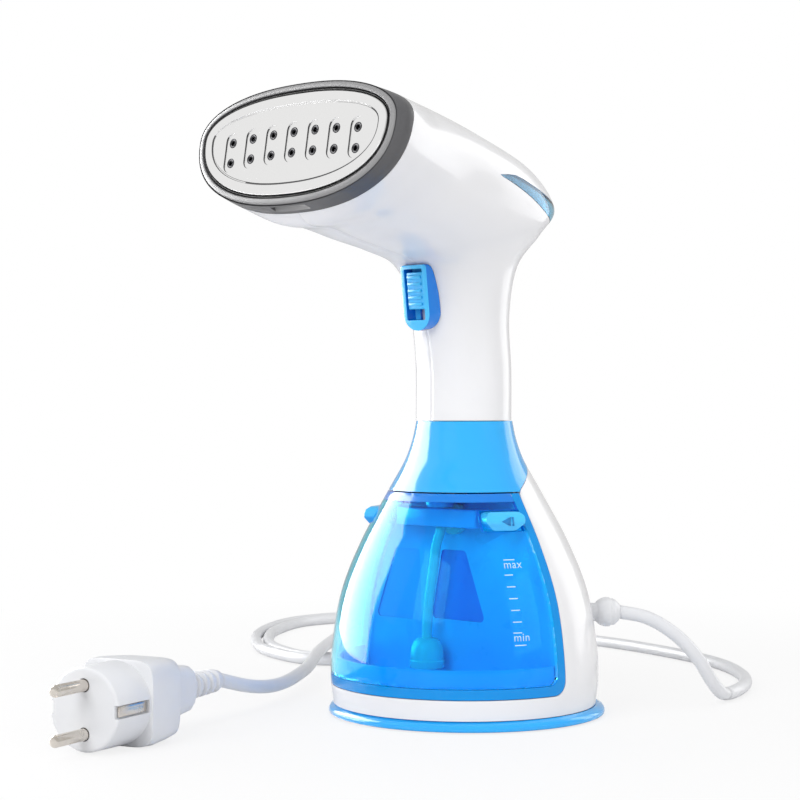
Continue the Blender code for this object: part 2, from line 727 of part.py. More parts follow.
def make_switch():
    half, top, bottom = SWITCH_W / 2, SWITCH_H / 2, -SWITCH_H / 2
    corners = [(-half, top, 1.6), (-half, bottom, half - 0.05), (half, bottom, half - 0.05), (half, top, 1.6)]
    bezel = place(plate("switch_bezel", rounded(corners), 16, "cyan"), on_switch(0, 8), SWITCH_ROTATION)
    combine(bezel, "DIFFERENCE", solid_head("head_solid", -GAP))
    tub = block("switch_tub", (WINDOW_W + 2, WINDOW_H + 2, WELL_DEPTH + 0.8))
    combine(bezel, "UNION", place(tub, on_switch(WINDOW_UP, WELL_DEPTH / 2 + 0.9), SWITCH_ROTATION))
    well = block("switch_well", (WINDOW_W, WINDOW_H, 2 * WELL_DEPTH))
    combine(bezel, "DIFFERENCE", place(well, on_switch(WINDOW_UP, 0), SWITCH_ROTATION))
    combine(bezel, "DIFFERENCE", place(block("bezel_stem_slot", (5, 30, 18)), (0, -20, 180.5)))

    thumb = block("steam_slider", (SLIDER_W, SLIDER_H, 4.4), "cyan")
    place(thumb, on_switch(SLIDER_UP, 2.9), SWITCH_ROTATION)
    for i in range(5):
        rib = block(f"slider_rib_{i}", (SLIDER_W - 2.4, 0.9, 1.4))
        combine(thumb, "UNION", place(rib, on_switch(SLIDER_UP + 2.9 * (i - 2), 0.7), SWITCH_ROTATION))
    combine(thumb, "UNION", place(block("slider_stem", (4, 13, 8)), (0, -21.8, 182.5)))

    switch = place(block("microswitch", (6.4, 9.6, 20), "grey"), (0, -8.8, PLUNGER_Z))
    plunger_place = ((0, 0, PLUNGER_Z), (math.radians(90), 0, 0))
    bore = cylinder("plunger_bore", 1.5, 8.6, 20, segments=16)
    combine(switch, "DIFFERENCE", place(bore, *plunger_place))
    plunger = cylinder("microswitch_plunger", 1.2, 9.8, 14.9, "copper", segments=16)
    place(plunger, *plunger_place)
    place(block("control_board", (22, 1.6, 26), "board"), (0, -2.8, 184))
    place(block("led_board", (16, 1.6, 10), "board"), (0, 30, 217))
    return thumb, plunger


# ---------------------------------------------------------------- pump and hoses


def make_pump():
    profile = [
        (2.5, 168),
        (2.5, PUMP_HIGH),
        (5.5, PUMP_HIGH),
        (5.5, PUMP_LOW),
        (2.5, PUMP_LOW),
        (2.5, 126),
        (1.3, 126),
        (1.3, 134),
        (4.2, 134),
        (4.2, 158),
        (1.3, 158),
        (1.3, 168),
    ]
    turned("pump_body", profile, "white", segments=16, closed=True)
    coil = [(11, 155.6), (11, 136.4), (5.9, 136.4), (5.9, 155.6)]
    turned("pump_coil", coil, "copper", segments=24, closed=True)
    curve("pump_spring", pump_spring_points(), 0.35, "steel", resolution=0)
    corners = [(-12.6, 134.2), (14.5, 134.2), (14.5, 157.6), (-12.6, 157.6)]
    corners += [(-12.6, 156.1), (13.0, 156.1), (13.0, 135.7), (-12.6, 135.7)]
    bracket = plate("pump_bracket", corners, 16, "aluminium")
    place(bracket, (0, 0, 0), (math.radians(90), 0, math.radians(90)))
    combine(bracket, "DIFFERENCE", cylinder("bracket_bore", 5.8, 130, 160))
    return cylinder("pump_piston", 3.8, PISTON_LOW, PISTON_HIGH, "steel")


def pump_spring_points():
    turns, per_turn, radius = 5, 9, 3.0
    low, high = PISTON_HIGH + GAP + 0.4, SPRING_TOP - 0.4
    points = []
    for i in range(turns * per_turn + 1):
        angle = 2 * math.pi * i / per_turn
        height = low + (high - low) * i / (turns * per_turn)
        points.append((radius * math.cos(angle), radius * math.sin(angle), height))
    return points


def make_hoses():
    """The hose from the pump up to the boiler, and the one from the docking nozzle to the pump."""
    feed = [(0, 168.8), (0.2, 171), (3, 175), (7, 183), (8, 195), (2, 211), (-24, 226), (-48, 229)]
    suction = [(8.5, VALVE_Z), (10.5, VALVE_Z), (14, 92), (12, 106), (4.5, 118), (0.3, 122), (0, 125.6)]
    for name, path, count in (("feed_hose", feed, 20), ("suction_hose", suction, 16)):
        curve(name, sampled([(0, y, z) for y, z in path], count), 2.2, "silicone")


def make_docking_nozzle():
    profile = [(1.6, 5.2), (1.6, 2.9), (3.0, 2.6), (3.0, 0.3), (5, 0.3)]
    profile += [(5, -1.2), (2.2, -1.2), (2.2, -8), (0.9, -8), (0.9, 5.2)]
    nozzle = turned("docking_nozzle", profile, "white", segments=16, closed=True)
    place(nozzle, (0, 0, VALVE_Z), (math.radians(90), 0, 0))


# ---------------------------------------------------------------- cord, plug and adapter


def view_point(across, along, height):
    """A place on the floor behind the body, across and along the coil of cord."""
    cos, sin = math.cos(VIEW_TURN), math.sin(VIEW_TURN)
    return COIL_CENTRE[0] + across * cos - along * sin, COIL_CENTRE[1] + across * sin + along * cos, height


def cord_points():
    """From the ball down to the floor, round behind the body, through the coil and over it to the plug."""
    floor = CORD_R + 0.4
    x, y, z = BALL_CENTRE
    drop = [(x + 5.4, y + 5.0, z), (54, 61, 40.5), (63, 70, 33), (69, 79, 22), (70.5, 88, 11), (70, 96, 5)]
    run = [(68, 106), (65.5, 116), (58, 134), (20, 178), (-60, 213), (-160, 222)]
    points = drop + [(across, along, floor) for across, along in run]
    turns, steps = 1.8, 20
    for i in range(steps + 1):
        angle = math.radians(60 + 360 * turns * i / steps)
        shrink = COIL_STEP * turns * i / steps
        across = (COIL_ACROSS - shrink) * math.cos(angle)
        along = (COIL_ALONG - shrink) * math.sin(angle)
        points.append(view_point(across, along, floor))
    over = floor + 2 * CORD_R + 0.5
    points += [view_point(26, 10, floor + 1), view_point(12, 4, floor + 3), view_point(2, -24, floor + 5)]
    points += [view_point(-5, -72, over), view_point(-10, -114, over), view_point(-15, -165, floor + 4)]
    return points + [along_plug(132, 1, PLUG_Z - 5), along_plug(112.5, 0, PLUG_Z)]


def along_plug(distance, side, height):
    cos, sin = math.cos(PLUG_TURN), math.sin(PLUG_TURN)
    return PLUG_START[0] - distance * sin + side * cos, PLUG_START[1] + distance * cos + side * sin, height


def plug_solid(name, stations, finish, count=16):
    """A body along the plug's line from (distance, half width, half height, squareness) stations."""
    rings = []
    for distance, wide, tall, power in stations:
        ring = []
        for i in range(count):
            side, up = superellipse(wide, tall, power, 2 * math.pi * i / count)
            ring.append(along_plug(distance, side, PLUG_Z + up))
        rings.append(ring)
    return loft(name, rings, finish)


def plug_turn(tilt):
    return math.radians(tilt), 0, PLUG_TURN


def make_plug():
    stations = [(68, 9, 13, 6), (71, 9, 13, 6), (71.2, 7.4, 10.6, 5), (84, 7.0, 9.6, 4)]
    stations += [(88, 5.8, 6.6, 3), (90, 4.6, 5.2, 2.4)]
    for i in range(4):
        start, outer = 91 + 5 * i, 5.6 - 0.2 * i
        stations += [(start, outer, outer, 2.4), (start + 2.4, outer - 0.1, outer - 0.1, 2.4)]
        stations += [(start + 2.6, 4.3, 4.3, 2), (start + 4.8, 4.2, 4.2, 2)]
    body = plug_solid("plug_body", stations, "cord")
    combine(body, "DIFFERENCE", plug_bore("cord_entry", 3.3, 104.5, 120))
    for side, name in ((1, "plug_blade_upper"), (-1, "plug_blade_lower")):
        height = PLUG_Z + side * BLADE_PITCH / 2
        place(block(name, (6.3, 22, 1.5), "nickel"), along_plug(63, 0, height), (0, 0, PLUG_TURN))
        seat = place(block(f"{name}_seat", (6.9, 9, 2.1)), along_plug(69.8, 0, height), (0, 0, PLUG_TURN))
        combine(body, "DIFFERENCE", seat)


def make_adapter():
    """The round-pin adapter with its two earth clips, as one list of pieces."""
    stations = [(19, 16, 16, 2), (20, 16.6, 16.6, 2), (40, 16.8, 16.8, 2), (40.3, 17.2, 17.2, 5)]
    stations += [(45, 17.3, 17.3, 6), (62, 15.8, 15.8, 5)]
    adapter = plug_solid("adapter_body", stations, "cord")
    pieces = [adapter]
    for side, name in ((1, "upper"), (-1, "lower")):
        height = PLUG_Z + side * PIN_PITCH / 2
        profile = [(0, 24), (2.4, 24), (2.4, 0.8), (1.6, 0), (0, 0)]
        pin = turned(f"adapter_pin_{name}", profile, "nickel", segments=20)
        pieces.append(place(pin, along_plug(0, 0, height), plug_turn(-90)))
        combine(adapter, "DIFFERENCE", plug_bore(f"pin_bore_{name}", 2.7, 10, 24.5, height))
        slot = block(f"blade_slot_{name}", (7.2, 20, 2.2))
        place(slot, along_plug(56, 0, PLUG_Z + side * BLADE_PITCH / 2), (0, 0, PLUG_TURN))
        combine(adapter, "DIFFERENCE", slot)
    for side, name in ((1, "right"), (-1, "left")):
        groove = block(f"clip_groove_{name}", (4, 26, 5.2))
        place(groove, along_plug(26, side * 16.6, PLUG_Z), (0, 0, PLUG_TURN))
        combine(adapter, "DIFFERENCE", groove)
        clip = block(f"earth_clip_{name}", (0.8, 18, 4.2), "nickel")
        pieces.append(place(clip, along_plug(29.4, side * 15.2, PLUG_Z), (0, 0, PLUG_TURN)))
    return pieces


def plug_bore(name, radius, start, end, height=PLUG_Z):
    bore = cylinder(name, radius, start, end, segments=16)
    return place(bore, along_plug(0, 0, height), plug_turn(-90))


def make_cord():
    ball_profile = [(0, BALL_R)]
    stem_angle = math.asin(4.0 / BALL_R)
    steps = 8
    for i in range(1, steps + 1):
        angle = (math.pi - stem_angle) * i / steps
        ball_profile.append((BALL_R * math.sin(angle), BALL_R * math.cos(angle)))
    ball_profile += [(4.0, -11.8), (5.4, -11.8), (5.4, -13.2), (0, -13.2)]
    outward = math.atan2(BALL_CENTRE[1], BALL_CENTRE[0])
    ball = turned("cord_ball", ball_profile, "cord", segments=20)
    place(ball, BALL_CENTRE, (math.radians(90), 0, outward + math.radians(90)))
    curve("cord", sampled(cord_points(), 84), CORD_R, "cord", resolution=1)


# ---------------------------------------------------------------- assembly


def build():
    make_collar()
    make_rear_shell()
    make_chassis()
    make_base()
    make_nozzle()
    make_boiler()
    make_lens()
    make_housing(1, "housing_left")
    make_housing(-1, "housing_right")
    for i, (y, z) in enumerate(HOUSING_SCREWS):
        screw(f"housing_screw_{i + 1}", 2.7, 2.2, 1.5, 16, (-7.6, y, z), (0, math.radians(90), 0))
    make_docking_nozzle()

    slider, plunger = make_switch()
    slide_empty("slider_axis", SWITCH_CENTRE, [slider])
    slide_empty("plunger_axis", (0, -15, PLUNGER_Z), [plunger])

    make_hoses()
    slide_empty("piston_axis", (0, 0, PISTON_LOW), [make_pump()])

    tank_axis = slide_empty("tank_axis", (0, SPLIT_Y, 60), make_tank())
    for side, name in ((1, "left"), (-1, "right")):
        button = make_button(side, f"release_button_{name}")
        spring = make_button_spring(side, f"button_spring_{name}")
        axis = slide_empty(f"button_axis_{name}", button.location / MM, [button, spring])
        axis.parent = tank_axis
        axis.matrix_parent_inverse = Matrix.Translation(tank_axis.location).inverted()

    make_cord()
    make_plug()
    slide_empty("adapter_axis", along_plug(40, 0, PLUG_Z), make_adapter())


build()
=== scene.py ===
"""The looks of the handheld garment steamer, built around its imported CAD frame.

Sizes are in millimetres and MM turns them into metres. +Z is up, the nozzle faces -Y and +X is the user's
left. Each fine piece stands for the CAD node it is named after and rides on that node's body.
"""

import json
import math

import bmesh
import bpy
from mathutils import Matrix, Vector

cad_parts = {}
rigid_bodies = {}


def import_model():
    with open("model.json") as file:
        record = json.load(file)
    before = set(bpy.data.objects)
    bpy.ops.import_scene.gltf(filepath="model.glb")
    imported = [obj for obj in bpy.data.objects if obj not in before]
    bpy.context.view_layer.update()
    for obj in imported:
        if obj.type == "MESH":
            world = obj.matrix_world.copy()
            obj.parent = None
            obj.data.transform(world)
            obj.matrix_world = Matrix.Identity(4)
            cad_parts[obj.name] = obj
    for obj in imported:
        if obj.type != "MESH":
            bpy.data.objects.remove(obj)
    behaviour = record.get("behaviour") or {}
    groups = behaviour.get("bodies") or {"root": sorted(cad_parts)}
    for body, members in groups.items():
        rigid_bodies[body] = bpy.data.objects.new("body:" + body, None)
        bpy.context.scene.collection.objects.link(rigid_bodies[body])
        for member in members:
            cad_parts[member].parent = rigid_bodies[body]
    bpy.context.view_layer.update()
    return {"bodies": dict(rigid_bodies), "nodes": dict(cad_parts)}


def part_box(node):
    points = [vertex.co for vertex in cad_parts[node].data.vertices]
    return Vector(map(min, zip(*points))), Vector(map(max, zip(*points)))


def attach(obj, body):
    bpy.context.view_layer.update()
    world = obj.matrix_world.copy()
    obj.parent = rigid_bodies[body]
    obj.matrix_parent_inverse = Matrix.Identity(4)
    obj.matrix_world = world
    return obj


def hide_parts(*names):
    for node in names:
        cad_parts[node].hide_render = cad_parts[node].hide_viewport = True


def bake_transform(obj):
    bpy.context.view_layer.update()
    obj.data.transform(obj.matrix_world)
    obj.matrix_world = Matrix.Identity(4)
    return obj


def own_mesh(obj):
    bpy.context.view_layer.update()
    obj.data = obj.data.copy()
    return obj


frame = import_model()

MM = 0.001
GAP = 0.3
FAR = 80.0
ROUND = 160

# Turns that stand a flat outline up: facing the front, or facing the side.
UPRIGHT = (math.radians(90), 0, 0)
SIDEWAYS = (math.radians(90), 0, math.radians(90))

# Turned body: radius against height.
BODY = [
    (4, 57.4),
    (16, 58.7),
    (34, 57.6),
    (54, 53.8),
    (76, 45.0),
    (97.5, 33.4),
    (113, 25.1),
    (121, 22.5),
    (128, 21.1),
]
BODY_WALL = 2.2
TANK_TOP = 97.5
TANK_FLOOR = 13.4
SPLIT_Y = -2.6
REAR_TOP = 114.0
BASE_Y = 1.5

# Handle and head: lower or front point (y, z), upper or rear point (y, z), half width, squareness, and how
# far along from the first point to the second the section is widest.
HEAD = [
    ((-21.5, 128), (20.5, 128), 21.0, 2.0, 0.5),
    ((-21.5, 150), (20.5, 150), 21.0, 2.0, 0.5),
    ((-24.5, 169), (20, 175), 20.5, 2.0, 0.5),
    ((-26.5, 184), (23.5, 198), 22.5, 2.2, 0.5),
    ((-32, 195.5), (34.5, 212), 26.5, 2.8, 0.5),
    ((-49, 200), (44, 225), 32.0, 2.5, 0.5),
    ((-66.5, 203.5), (22, 241), 37.0, 2.5, 0.5),
    ((-81.5, 207), (-19, 252.5), 41.5, 2.5, 0.53),
    ((-94.5, 207.5), (-59, 260.5), 50.0, 2.2, 0.57),
    ((-102, 212), (-92.5, 262), 58.0, 2.28, 0.65),
    ((-110, 215), (-101.5, 264.5), 56.5, 2.28, 0.59),
]
FACE = len(HEAD) - 1
BEZEL_BACK = FACE - 1
HEAD_WALL = 2.4
SEAM = 0.05

# Nozzle face.
FACE_TILT = math.radians(10.0)
FACE_ROTATION = (math.radians(90) - FACE_TILT, 0, 0)
FACE_CENTRE = (0, -104.8, 244.2)
HOLE_PITCH, HOLE_ROW_PITCH, HOLE_COLUMNS = 12.0, 8.5, 7
HOLE_DROP, HOLE_ARCH = 5.2, 1.4
OVAL_START, OVAL_END = 8.6, 9.32

# Steam switch.
SWITCH_CENTRE = (0, -32.2, 180.65)
SWITCH_LEAN = math.radians(6.5)
SWITCH_ROTATION = (math.radians(90) + SWITCH_LEAN, 0, 0)
SWITCH_W, SWITCH_H = 15.0, 28.3
WINDOW_W, WINDOW_H, WINDOW_UP = 10.4, 22.0, 1.45
SLIDER_W, SLIDER_H, SLIDER_UP = 9.7, 16.0, 3.0
RIB_PITCH = 2.9
WELL_DEPTH = 5.6

# Springs.
SPRING_WIRE = 0.35

# Tank and its release buttons.
TANK_LOW, TANK_HIGH = TANK_FLOOR + GAP, TANK_TOP - GAP
FRAME_BACK = SPLIT_Y - GAP
SHELL_BACK, SHELL_LOW = -7.3, 18.2
INSIDE_LOW, ROOF_Z = 15.9, 93.6
WALL_FACE_Y = -5.0
CURB_TOP = 25.5
FILLER_Y = -16.0
VALVE_Z = 85.0
HOSE_X, HOSE_Y = -9.0, -14.5
BUTTON_AZIMUTH = math.radians(65)
BUTTON_Z = 86.0
BUTTON_W, BUTTON_H, BUTTON_PROUD = 18.0, 7.8, 3.8
LINE_HALF_H = 0.22

# Housing screws: (y, z), with their heads on the -X side.
HOUSING_SCREWS = [(13.5, 166.0), (-40.0, 236.0)]

# Cord, plug and adapter.
CORD_R = 3.0
BALL_R = 6.5
BALL_CENTRE = (41.1, 49.0, 43.0)
BALL_ROTATION = (math.radians(90), 0, math.atan2(BALL_CENTRE[1], BALL_CENTRE[0]) + math.radians(90))
LEAD_END = (70.0, 96.0, 5.0)
COIL_CENTRE = (-208.0, 136.0)
COIL_ACROSS, COIL_ALONG, COIL_STEP = 52.0, 102.0, 7.0
VIEW_TURN = math.radians(43)
PLUG_START = (-33.0, -198.0)
PLUG_TURN = math.radians(15)
PLUG_Z = 17.4
PIN_PITCH, BLADE_PITCH = 19.0, 12.7

# Camera: level, with the turned body's axis a little right of the middle of the picture.
CAMERA_AT = (564.5, -646.8, 137.0)
CAMERA_LENS, CAMERA_SENSOR = 87.75, 36.0

BODY_OF = {node.name: name for name, empty in frame["bodies"].items() for node in empty.children}


# ---------------------------------------------------------------- materials


class Finish:
    """A Principled material, with helpers that drive its inputs from procedural patterns."""

    def __init__(self, name, colour, roughness, **inputs):
        self.material = bpy.data.materials.new(name)
        self.material.use_nodes = True
        self.nodes = self.material.node_tree.nodes
        self.links = self.material.node_tree.links
        self.shader = self.nodes["Principled BSDF"]
        self.colour = (*colour, 1.0)
        self.material.diffuse_color = self.colour
        self.shader.inputs["Base Color"].default_value = self.colour
        self.shader.inputs["Roughness"].default_value = roughness
        for key, value in inputs.items():
            self.shader.inputs[key.replace("_", " ")].default_value = value

    def node(self, kind, **values):
        """A node with its inputs set by name; a name that starts with set_ is a property of the node."""
        made = self.nodes.new(kind)
        for key, value in values.items():
            if key.startswith("set_"):
                setattr(made, key[4:], value)
            else:
                made.inputs[key.replace("_", " ")].default_value = value
        return made

    def link(self, source, target):
        self.links.new(source, target)

    def position(self, scale=(1, 1, 1), rotation=(0, 0, 0)):
        where = self.node("ShaderNodeTexCoord")
        mapping = self.node("ShaderNodeMapping", Scale=scale, Rotation=rotation)
        self.link(where.outputs["Object"], mapping.inputs["Vector"])
        return mapping.outputs["Vector"]

    def noise(self, scale, detail=3.0, stretch=(1, 1, 1)):
        made = self.node("ShaderNodeTexNoise", Scale=scale, Detail=detail)
        self.link(self.position(stretch), made.inputs["Vector"])
        return made.outputs["Fac"]

    def ramp(self, factor, low, high, start=0.3, end=0.7):
        """Maps a pattern between two values."""
        made = self.node("ShaderNodeMapRange", From_Min=start, From_Max=end, To_Min=low, To_Max=high)
        self.link(factor, made.inputs["Value"])
        return made.outputs["Result"]

    def mix(self, factor, first, second):
        """A colour between first and second."""
        made = self.node("ShaderNodeMix", set_data_type="RGBA")
        self.link(factor, made.inputs["Factor"])
        for socket, value in ((made.inputs[6], first), (made.inputs[7], second)):
            if isinstance(value, tuple):
                socket.default_value = (*value[:3], 1)
            else:
                self.link(value, socket)
        return made.outputs[2]

    def tint(self, scale, other, amount=0.5, detail=3.0):
        """Slow colour variation between the base colour and another."""
        share = self.ramp(self.noise(scale, detail), 0.0, amount)
        self.link(self.mix(share, self.colour, other), self.shader.inputs["Base Color"])
        return self

    def wear(self, scale, low, high, stretch=(1, 1, 1)):
        """Roughness that varies between two values."""
        self.link(self.ramp(self.noise(scale, 4.0, stretch), low, high), self.shader.inputs["Roughness"])
        return self

    def grain(self, height, distance, strength=1.0):
        """Bump from a pattern, with its depth in millimetres."""
        bump = self.node("ShaderNodeBump", Strength=strength, Distance=distance * MM)
        self.link(height, bump.inputs["Height"])
        self.link(bump.outputs["Normal"], self.shader.inputs["Normal"])
        return self

    def show_mixed(self, factor, other):
        """Shows this finish's shader mixed with another by factor."""
        mixed = self.node("ShaderNodeMixShader")
        self.link(factor, mixed.inputs["Fac"])
        self.link(self.shader.outputs["BSDF"], mixed.inputs[1])
        self.link(other, mixed.inputs[2])
        self.link(mixed.outputs["Shader"], self.nodes["Material Output"].inputs["Surface"])


# Colour, roughness and what varies them: tint is (scale, other colour, amount), wear is (scale, least and
# most roughness) and grain is (scale, detail, depth in mm, strength). Capitalised keys are shader inputs.
# window_plastic is for walls seen from inside the clear shell, which would mirror the light if they shone.
PLAIN_FINISHES = {
    "white_plastic": ((0.83, 0.83, 0.845), 0.2, {
        "tint": (14, (0.8, 0.8, 0.82), 0.6), "wear": (60, 0.17, 0.27), "grain": (1400, 2.0, 0.012, 0.35),
        "Coat_Weight": 0.25, "Coat_Roughness": 0.06,
    }),
    "soft_white_plastic": ((0.8, 0.805, 0.82), 0.28, {
        "tint": (40, (0.74, 0.745, 0.765), 0.6), "wear": (120, 0.22, 0.36), "grain": (2200, 2.0, 0.02, 0.4),
        "Subsurface_Weight": 0.1, "Subsurface_Scale": 0.002,
    }),
    "grey_plastic": ((0.095, 0.095, 0.1), 0.36, {
        "tint": (30, (0.075, 0.075, 0.08), 0.8), "wear": (180, 0.3, 0.42), "grain": (3000, 2.0, 0.02, 0.5),
    }),
    "rim_plastic": ((0.27, 0.27, 0.275), 0.36, {
        "tint": (30, (0.23, 0.23, 0.235), 0.8), "wear": (180, 0.3, 0.42), "grain": (3000, 2.0, 0.02, 0.4),
    }),
    "polished_steel": ((0.88, 0.88, 0.88), 0.16, {
        "tint": (20, (0.85, 0.85, 0.855), 0.5), "wear": (240, 0.13, 0.19, (1, 1, 6)), "Metallic": 1.0,
    }),
    "shaded_steel": ((0.16, 0.16, 0.165), 0.3, {"wear": (300, 0.24, 0.4), "Metallic": 1.0}),
    "hole_steel": ((0.045, 0.045, 0.05), 0.3, {"wear": (500, 0.25, 0.45), "Metallic": 1.0}),
    "bare_steel": ((0.62, 0.62, 0.63), 0.3, {
        "tint": (90, (0.5, 0.5, 0.51), 0.8), "wear": (400, 0.22, 0.4), "Metallic": 1.0,
    }),
    "nickel": ((0.76, 0.72, 0.66), 0.18, {
        "tint": (70, (0.66, 0.6, 0.54), 0.8), "wear": (300, 0.12, 0.3), "Metallic": 1.0,
    }),
    "cast_aluminium": ((0.66, 0.67, 0.69), 0.5, {
        "tint": (60, (0.55, 0.56, 0.58), 0.9), "wear": (300, 0.4, 0.62), "grain": (900, 6.0, 0.08, 0.7),
        "Metallic": 1.0,
    }),
    "sky_plastic": ((0.022, 0.44, 0.95), 0.14, {
        "tint": (12, (0.012, 0.38, 0.92), 0.7), "wear": (90, 0.1, 0.2), "grain": (1600, 2.0, 0.008, 0.3),
        "Coat_Weight": 0.4, "Coat_Roughness": 0.05, "Subsurface_Weight": 0.15,
        "Subsurface_Radius": (0.2, 0.6, 1.0), "Subsurface_Scale": 0.003,
    }),
    "cyan_plastic": ((0.055, 0.55, 0.98), 0.2, {
        "tint": (25, (0.04, 0.49, 0.96), 0.6), "wear": (120, 0.16, 0.26), "grain": (1800, 2.0, 0.01, 0.3),
        "Coat_Weight": 0.3, "Coat_Roughness": 0.06,
    }),
    "deep_plastic": ((0.0, 0.22, 0.76), 0.18, {
        "tint": (25, (0.0, 0.18, 0.7), 0.7), "wear": (120, 0.14, 0.24), "Coat_Weight": 0.3,
        "Coat_Roughness": 0.05,
    }),
    "frame_plastic": ((0.0, 0.29, 0.76), 0.14, {
        "tint": (20, (0.0, 0.25, 0.72), 0.7), "wear": (110, 0.1, 0.2), "Coat_Weight": 0.1,
        "Specular_IOR_Level": 0.3,
    }),
    "wall_plastic": ((0.03, 0.66, 0.98), 0.3, {
        "tint": (22, (0.02, 0.5, 0.95), 0.9), "wear": (110, 0.24, 0.4),
    }),
    "panel_plastic": ((0.0, 0.27, 0.8), 0.3, {
        "tint": (22, (0.0, 0.22, 0.74), 0.8), "wear": (110, 0.24, 0.4),
    }),
    "window_plastic": ((0.0, 0.24, 0.76), 0.6, {
        "tint": (25, (0.0, 0.2, 0.7), 0.7), "wear": (110, 0.5, 0.7), "IOR": 1.0, "Specular_IOR_Level": 0.0,
    }),
    "cord_plastic": ((0.74, 0.75, 0.775), 0.34, {
        "tint": (35, (0.68, 0.69, 0.715), 0.7), "wear": (150, 0.28, 0.42), "grain": (1500, 3.0, 0.03, 0.4),
    }),
    "rubber": ((0.02, 0.02, 0.02), 0.6, {"wear": (300, 0.5, 0.75), "grain": (2500, 3.0, 0.03, 0.6)}),
    "mark_ink": ((0.55, 0.8, 1.0), 0.4, {"tint": (200, (0.48, 0.74, 1.0), 0.7)}),
    "symbol_ink": ((0.01, 0.2, 0.55), 0.35, {"tint": (200, (0.01, 0.24, 0.6), 0.7)}),
}

# Clear plastics: tint, roughness and refractive index.
CLEAR_FINISHES = {
    "tank_plastic": ((0.13, 0.8, 1.0), 0.03, 1.33),
    "lens_plastic": ((0.3, 0.74, 1.0), 0.06, 1.45),
    "silicone": ((0.86, 0.92, 0.97), 0.35, 1.35),
}


def plain_finish(name, colour, roughness, tint=None, wear=None, grain=None, **inputs):
    look = Finish(name, colour, roughness, **inputs)
    if tint:
        look.tint(*tint)
    if wear:
        look.wear(*wear)
    if grain:
        scale, detail, depth, strength = grain
        look.grain(look.noise(scale, detail), depth, strength)
    return look


def clear_finish(name, tint, roughness, ior):
    """Tinted glassy plastic that lets light through to what it covers."""
    look = Finish(name, tint, roughness, Transmission_Weight=1.0, IOR=ior)
    look.tint(16, tuple(0.93 * value for value in tint), 0.6)
    look.wear(80, roughness * 0.6, roughness * 1.5)
    passing = look.node("ShaderNodeBsdfTransparent", Color=(*tint, 1))
    path = look.node("ShaderNodeLightPath")
    either = look.node("ShaderNodeMath", set_operation="MAXIMUM")
    look.link(path.outputs["Is Shadow Ray"], either.inputs[0])
    look.link(path.outputs["Is Diffuse Ray"], either.inputs[1])
    look.show_mixed(either.outputs[0], passing.outputs["BSDF"])
    return look


def copper():
    look = Finish("copper", (0.72, 0.3, 0.12), 0.3, Metallic=1.0)
    turns = look.node("ShaderNodeTexWave", Scale=330.0, Distortion=0.4, set_bands_direction="Z")
    look.link(look.position(), turns.inputs["Vector"])
    shadow_colour = (0.3, 0.1, 0.04)
    look.link(look.mix(turns.outputs["Fac"], shadow_colour, look.colour), look.shader.inputs["Base Color"])
    return look.grain(turns.outputs["Fac"], 0.15)


def circuit_board():
    look = Finish("circuit_board", (0.02, 0.19, 0.07), 0.4, Coat_Weight=0.3)
    tracks = look.node("ShaderNodeTexBrick", Scale=260.0, Mortar_Size=0.05, Brick_Width=0.9, Row_Height=0.35)
    look.link(look.position((1, 1, 1), UPRIGHT), tracks.inputs["Vector"])
    track_colour = (0.08, 0.36, 0.12)
    look.link(look.mix(tracks.outputs["Fac"], look.colour, track_colour), look.shader.inputs["Base Color"])
    return look.grain(tracks.outputs["Fac"], 0.05)


PATTERNED_FINISHES = {"copper": copper, "circuit_board": circuit_board}
MATERIALS = {}


def finish(name):
    """The material of that name, made the first time it is asked for."""
    if name not in MATERIALS:
        if name in PLAIN_FINISHES:
            colour, roughness, varied = PLAIN_FINISHES[name]
            look = plain_finish(name, colour, roughness, **varied)
        elif name in CLEAR_FINISHES:
            look = clear_finish(name, *CLEAR_FINISHES[name])
        else:
            look = PATTERNED_FINISHES[name]()
        MATERIALS[name] = look.material
    return MATERIALS[name]


# ---------------------------------------------------------------- meshes


def link(name, data):
    made = bpy.data.objects.new(name, data)
    bpy.context.scene.collection.objects.link(made)
    return made


def place(obj, location=(0, 0, 0), rotation=(0, 0, 0)):
    obj.location = Vector(location) * MM
    obj.rotation_euler = rotation
    return obj


def cutter(obj):
    obj.hide_render = True
    obj.display_type = "WIRE"
    return obj


def box(node):
    """The lowest and highest corner of a CAD node."""
    low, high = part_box(node)
    return low / MM, high / MM


def underside(node):
    """The lowest height of a CAD node."""
    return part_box(node)[0].z / MM


def coat(obj, name, body):
    """A piece with no CAD node of its own takes a finish and rides on a body."""
    obj.data.materials.append(finish(name))
    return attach(obj, body)


def from_bmesh(name, bm):
    bmesh.ops.recalc_face_normals(bm, faces=bm.faces)
    mesh = bpy.data.meshes.new(name)
    bm.to_mesh(mesh)
    bm.free()
    mesh.shade_smooth()
    return link(name, mesh)


def block(name, size, bevel=0.0):
    bm = bmesh.new()
    bmesh.ops.create_cube(bm, size=1, matrix=Matrix.Diagonal((*[side * MM for side in size], 1)))
    if bevel:
        bmesh.ops.bevel(bm, geom=bm.edges, offset=bevel * MM, segments=3, profile=0.5, affect="EDGES")
    return from_bmesh(name, bm)


def join_rings(bm, rings, closed):
    """Faces between neighbouring rings; a ring that is one vertex repeated gives triangles."""
    for near, far in zip(rings, rings[1:] + rings[:1] if closed else rings[1:]):
        for i in range(len(near)):
            j = (i + 1) % len(near)
            bm.faces.new(list(dict.fromkeys((near[i], near[j], far[j], far[i]))))


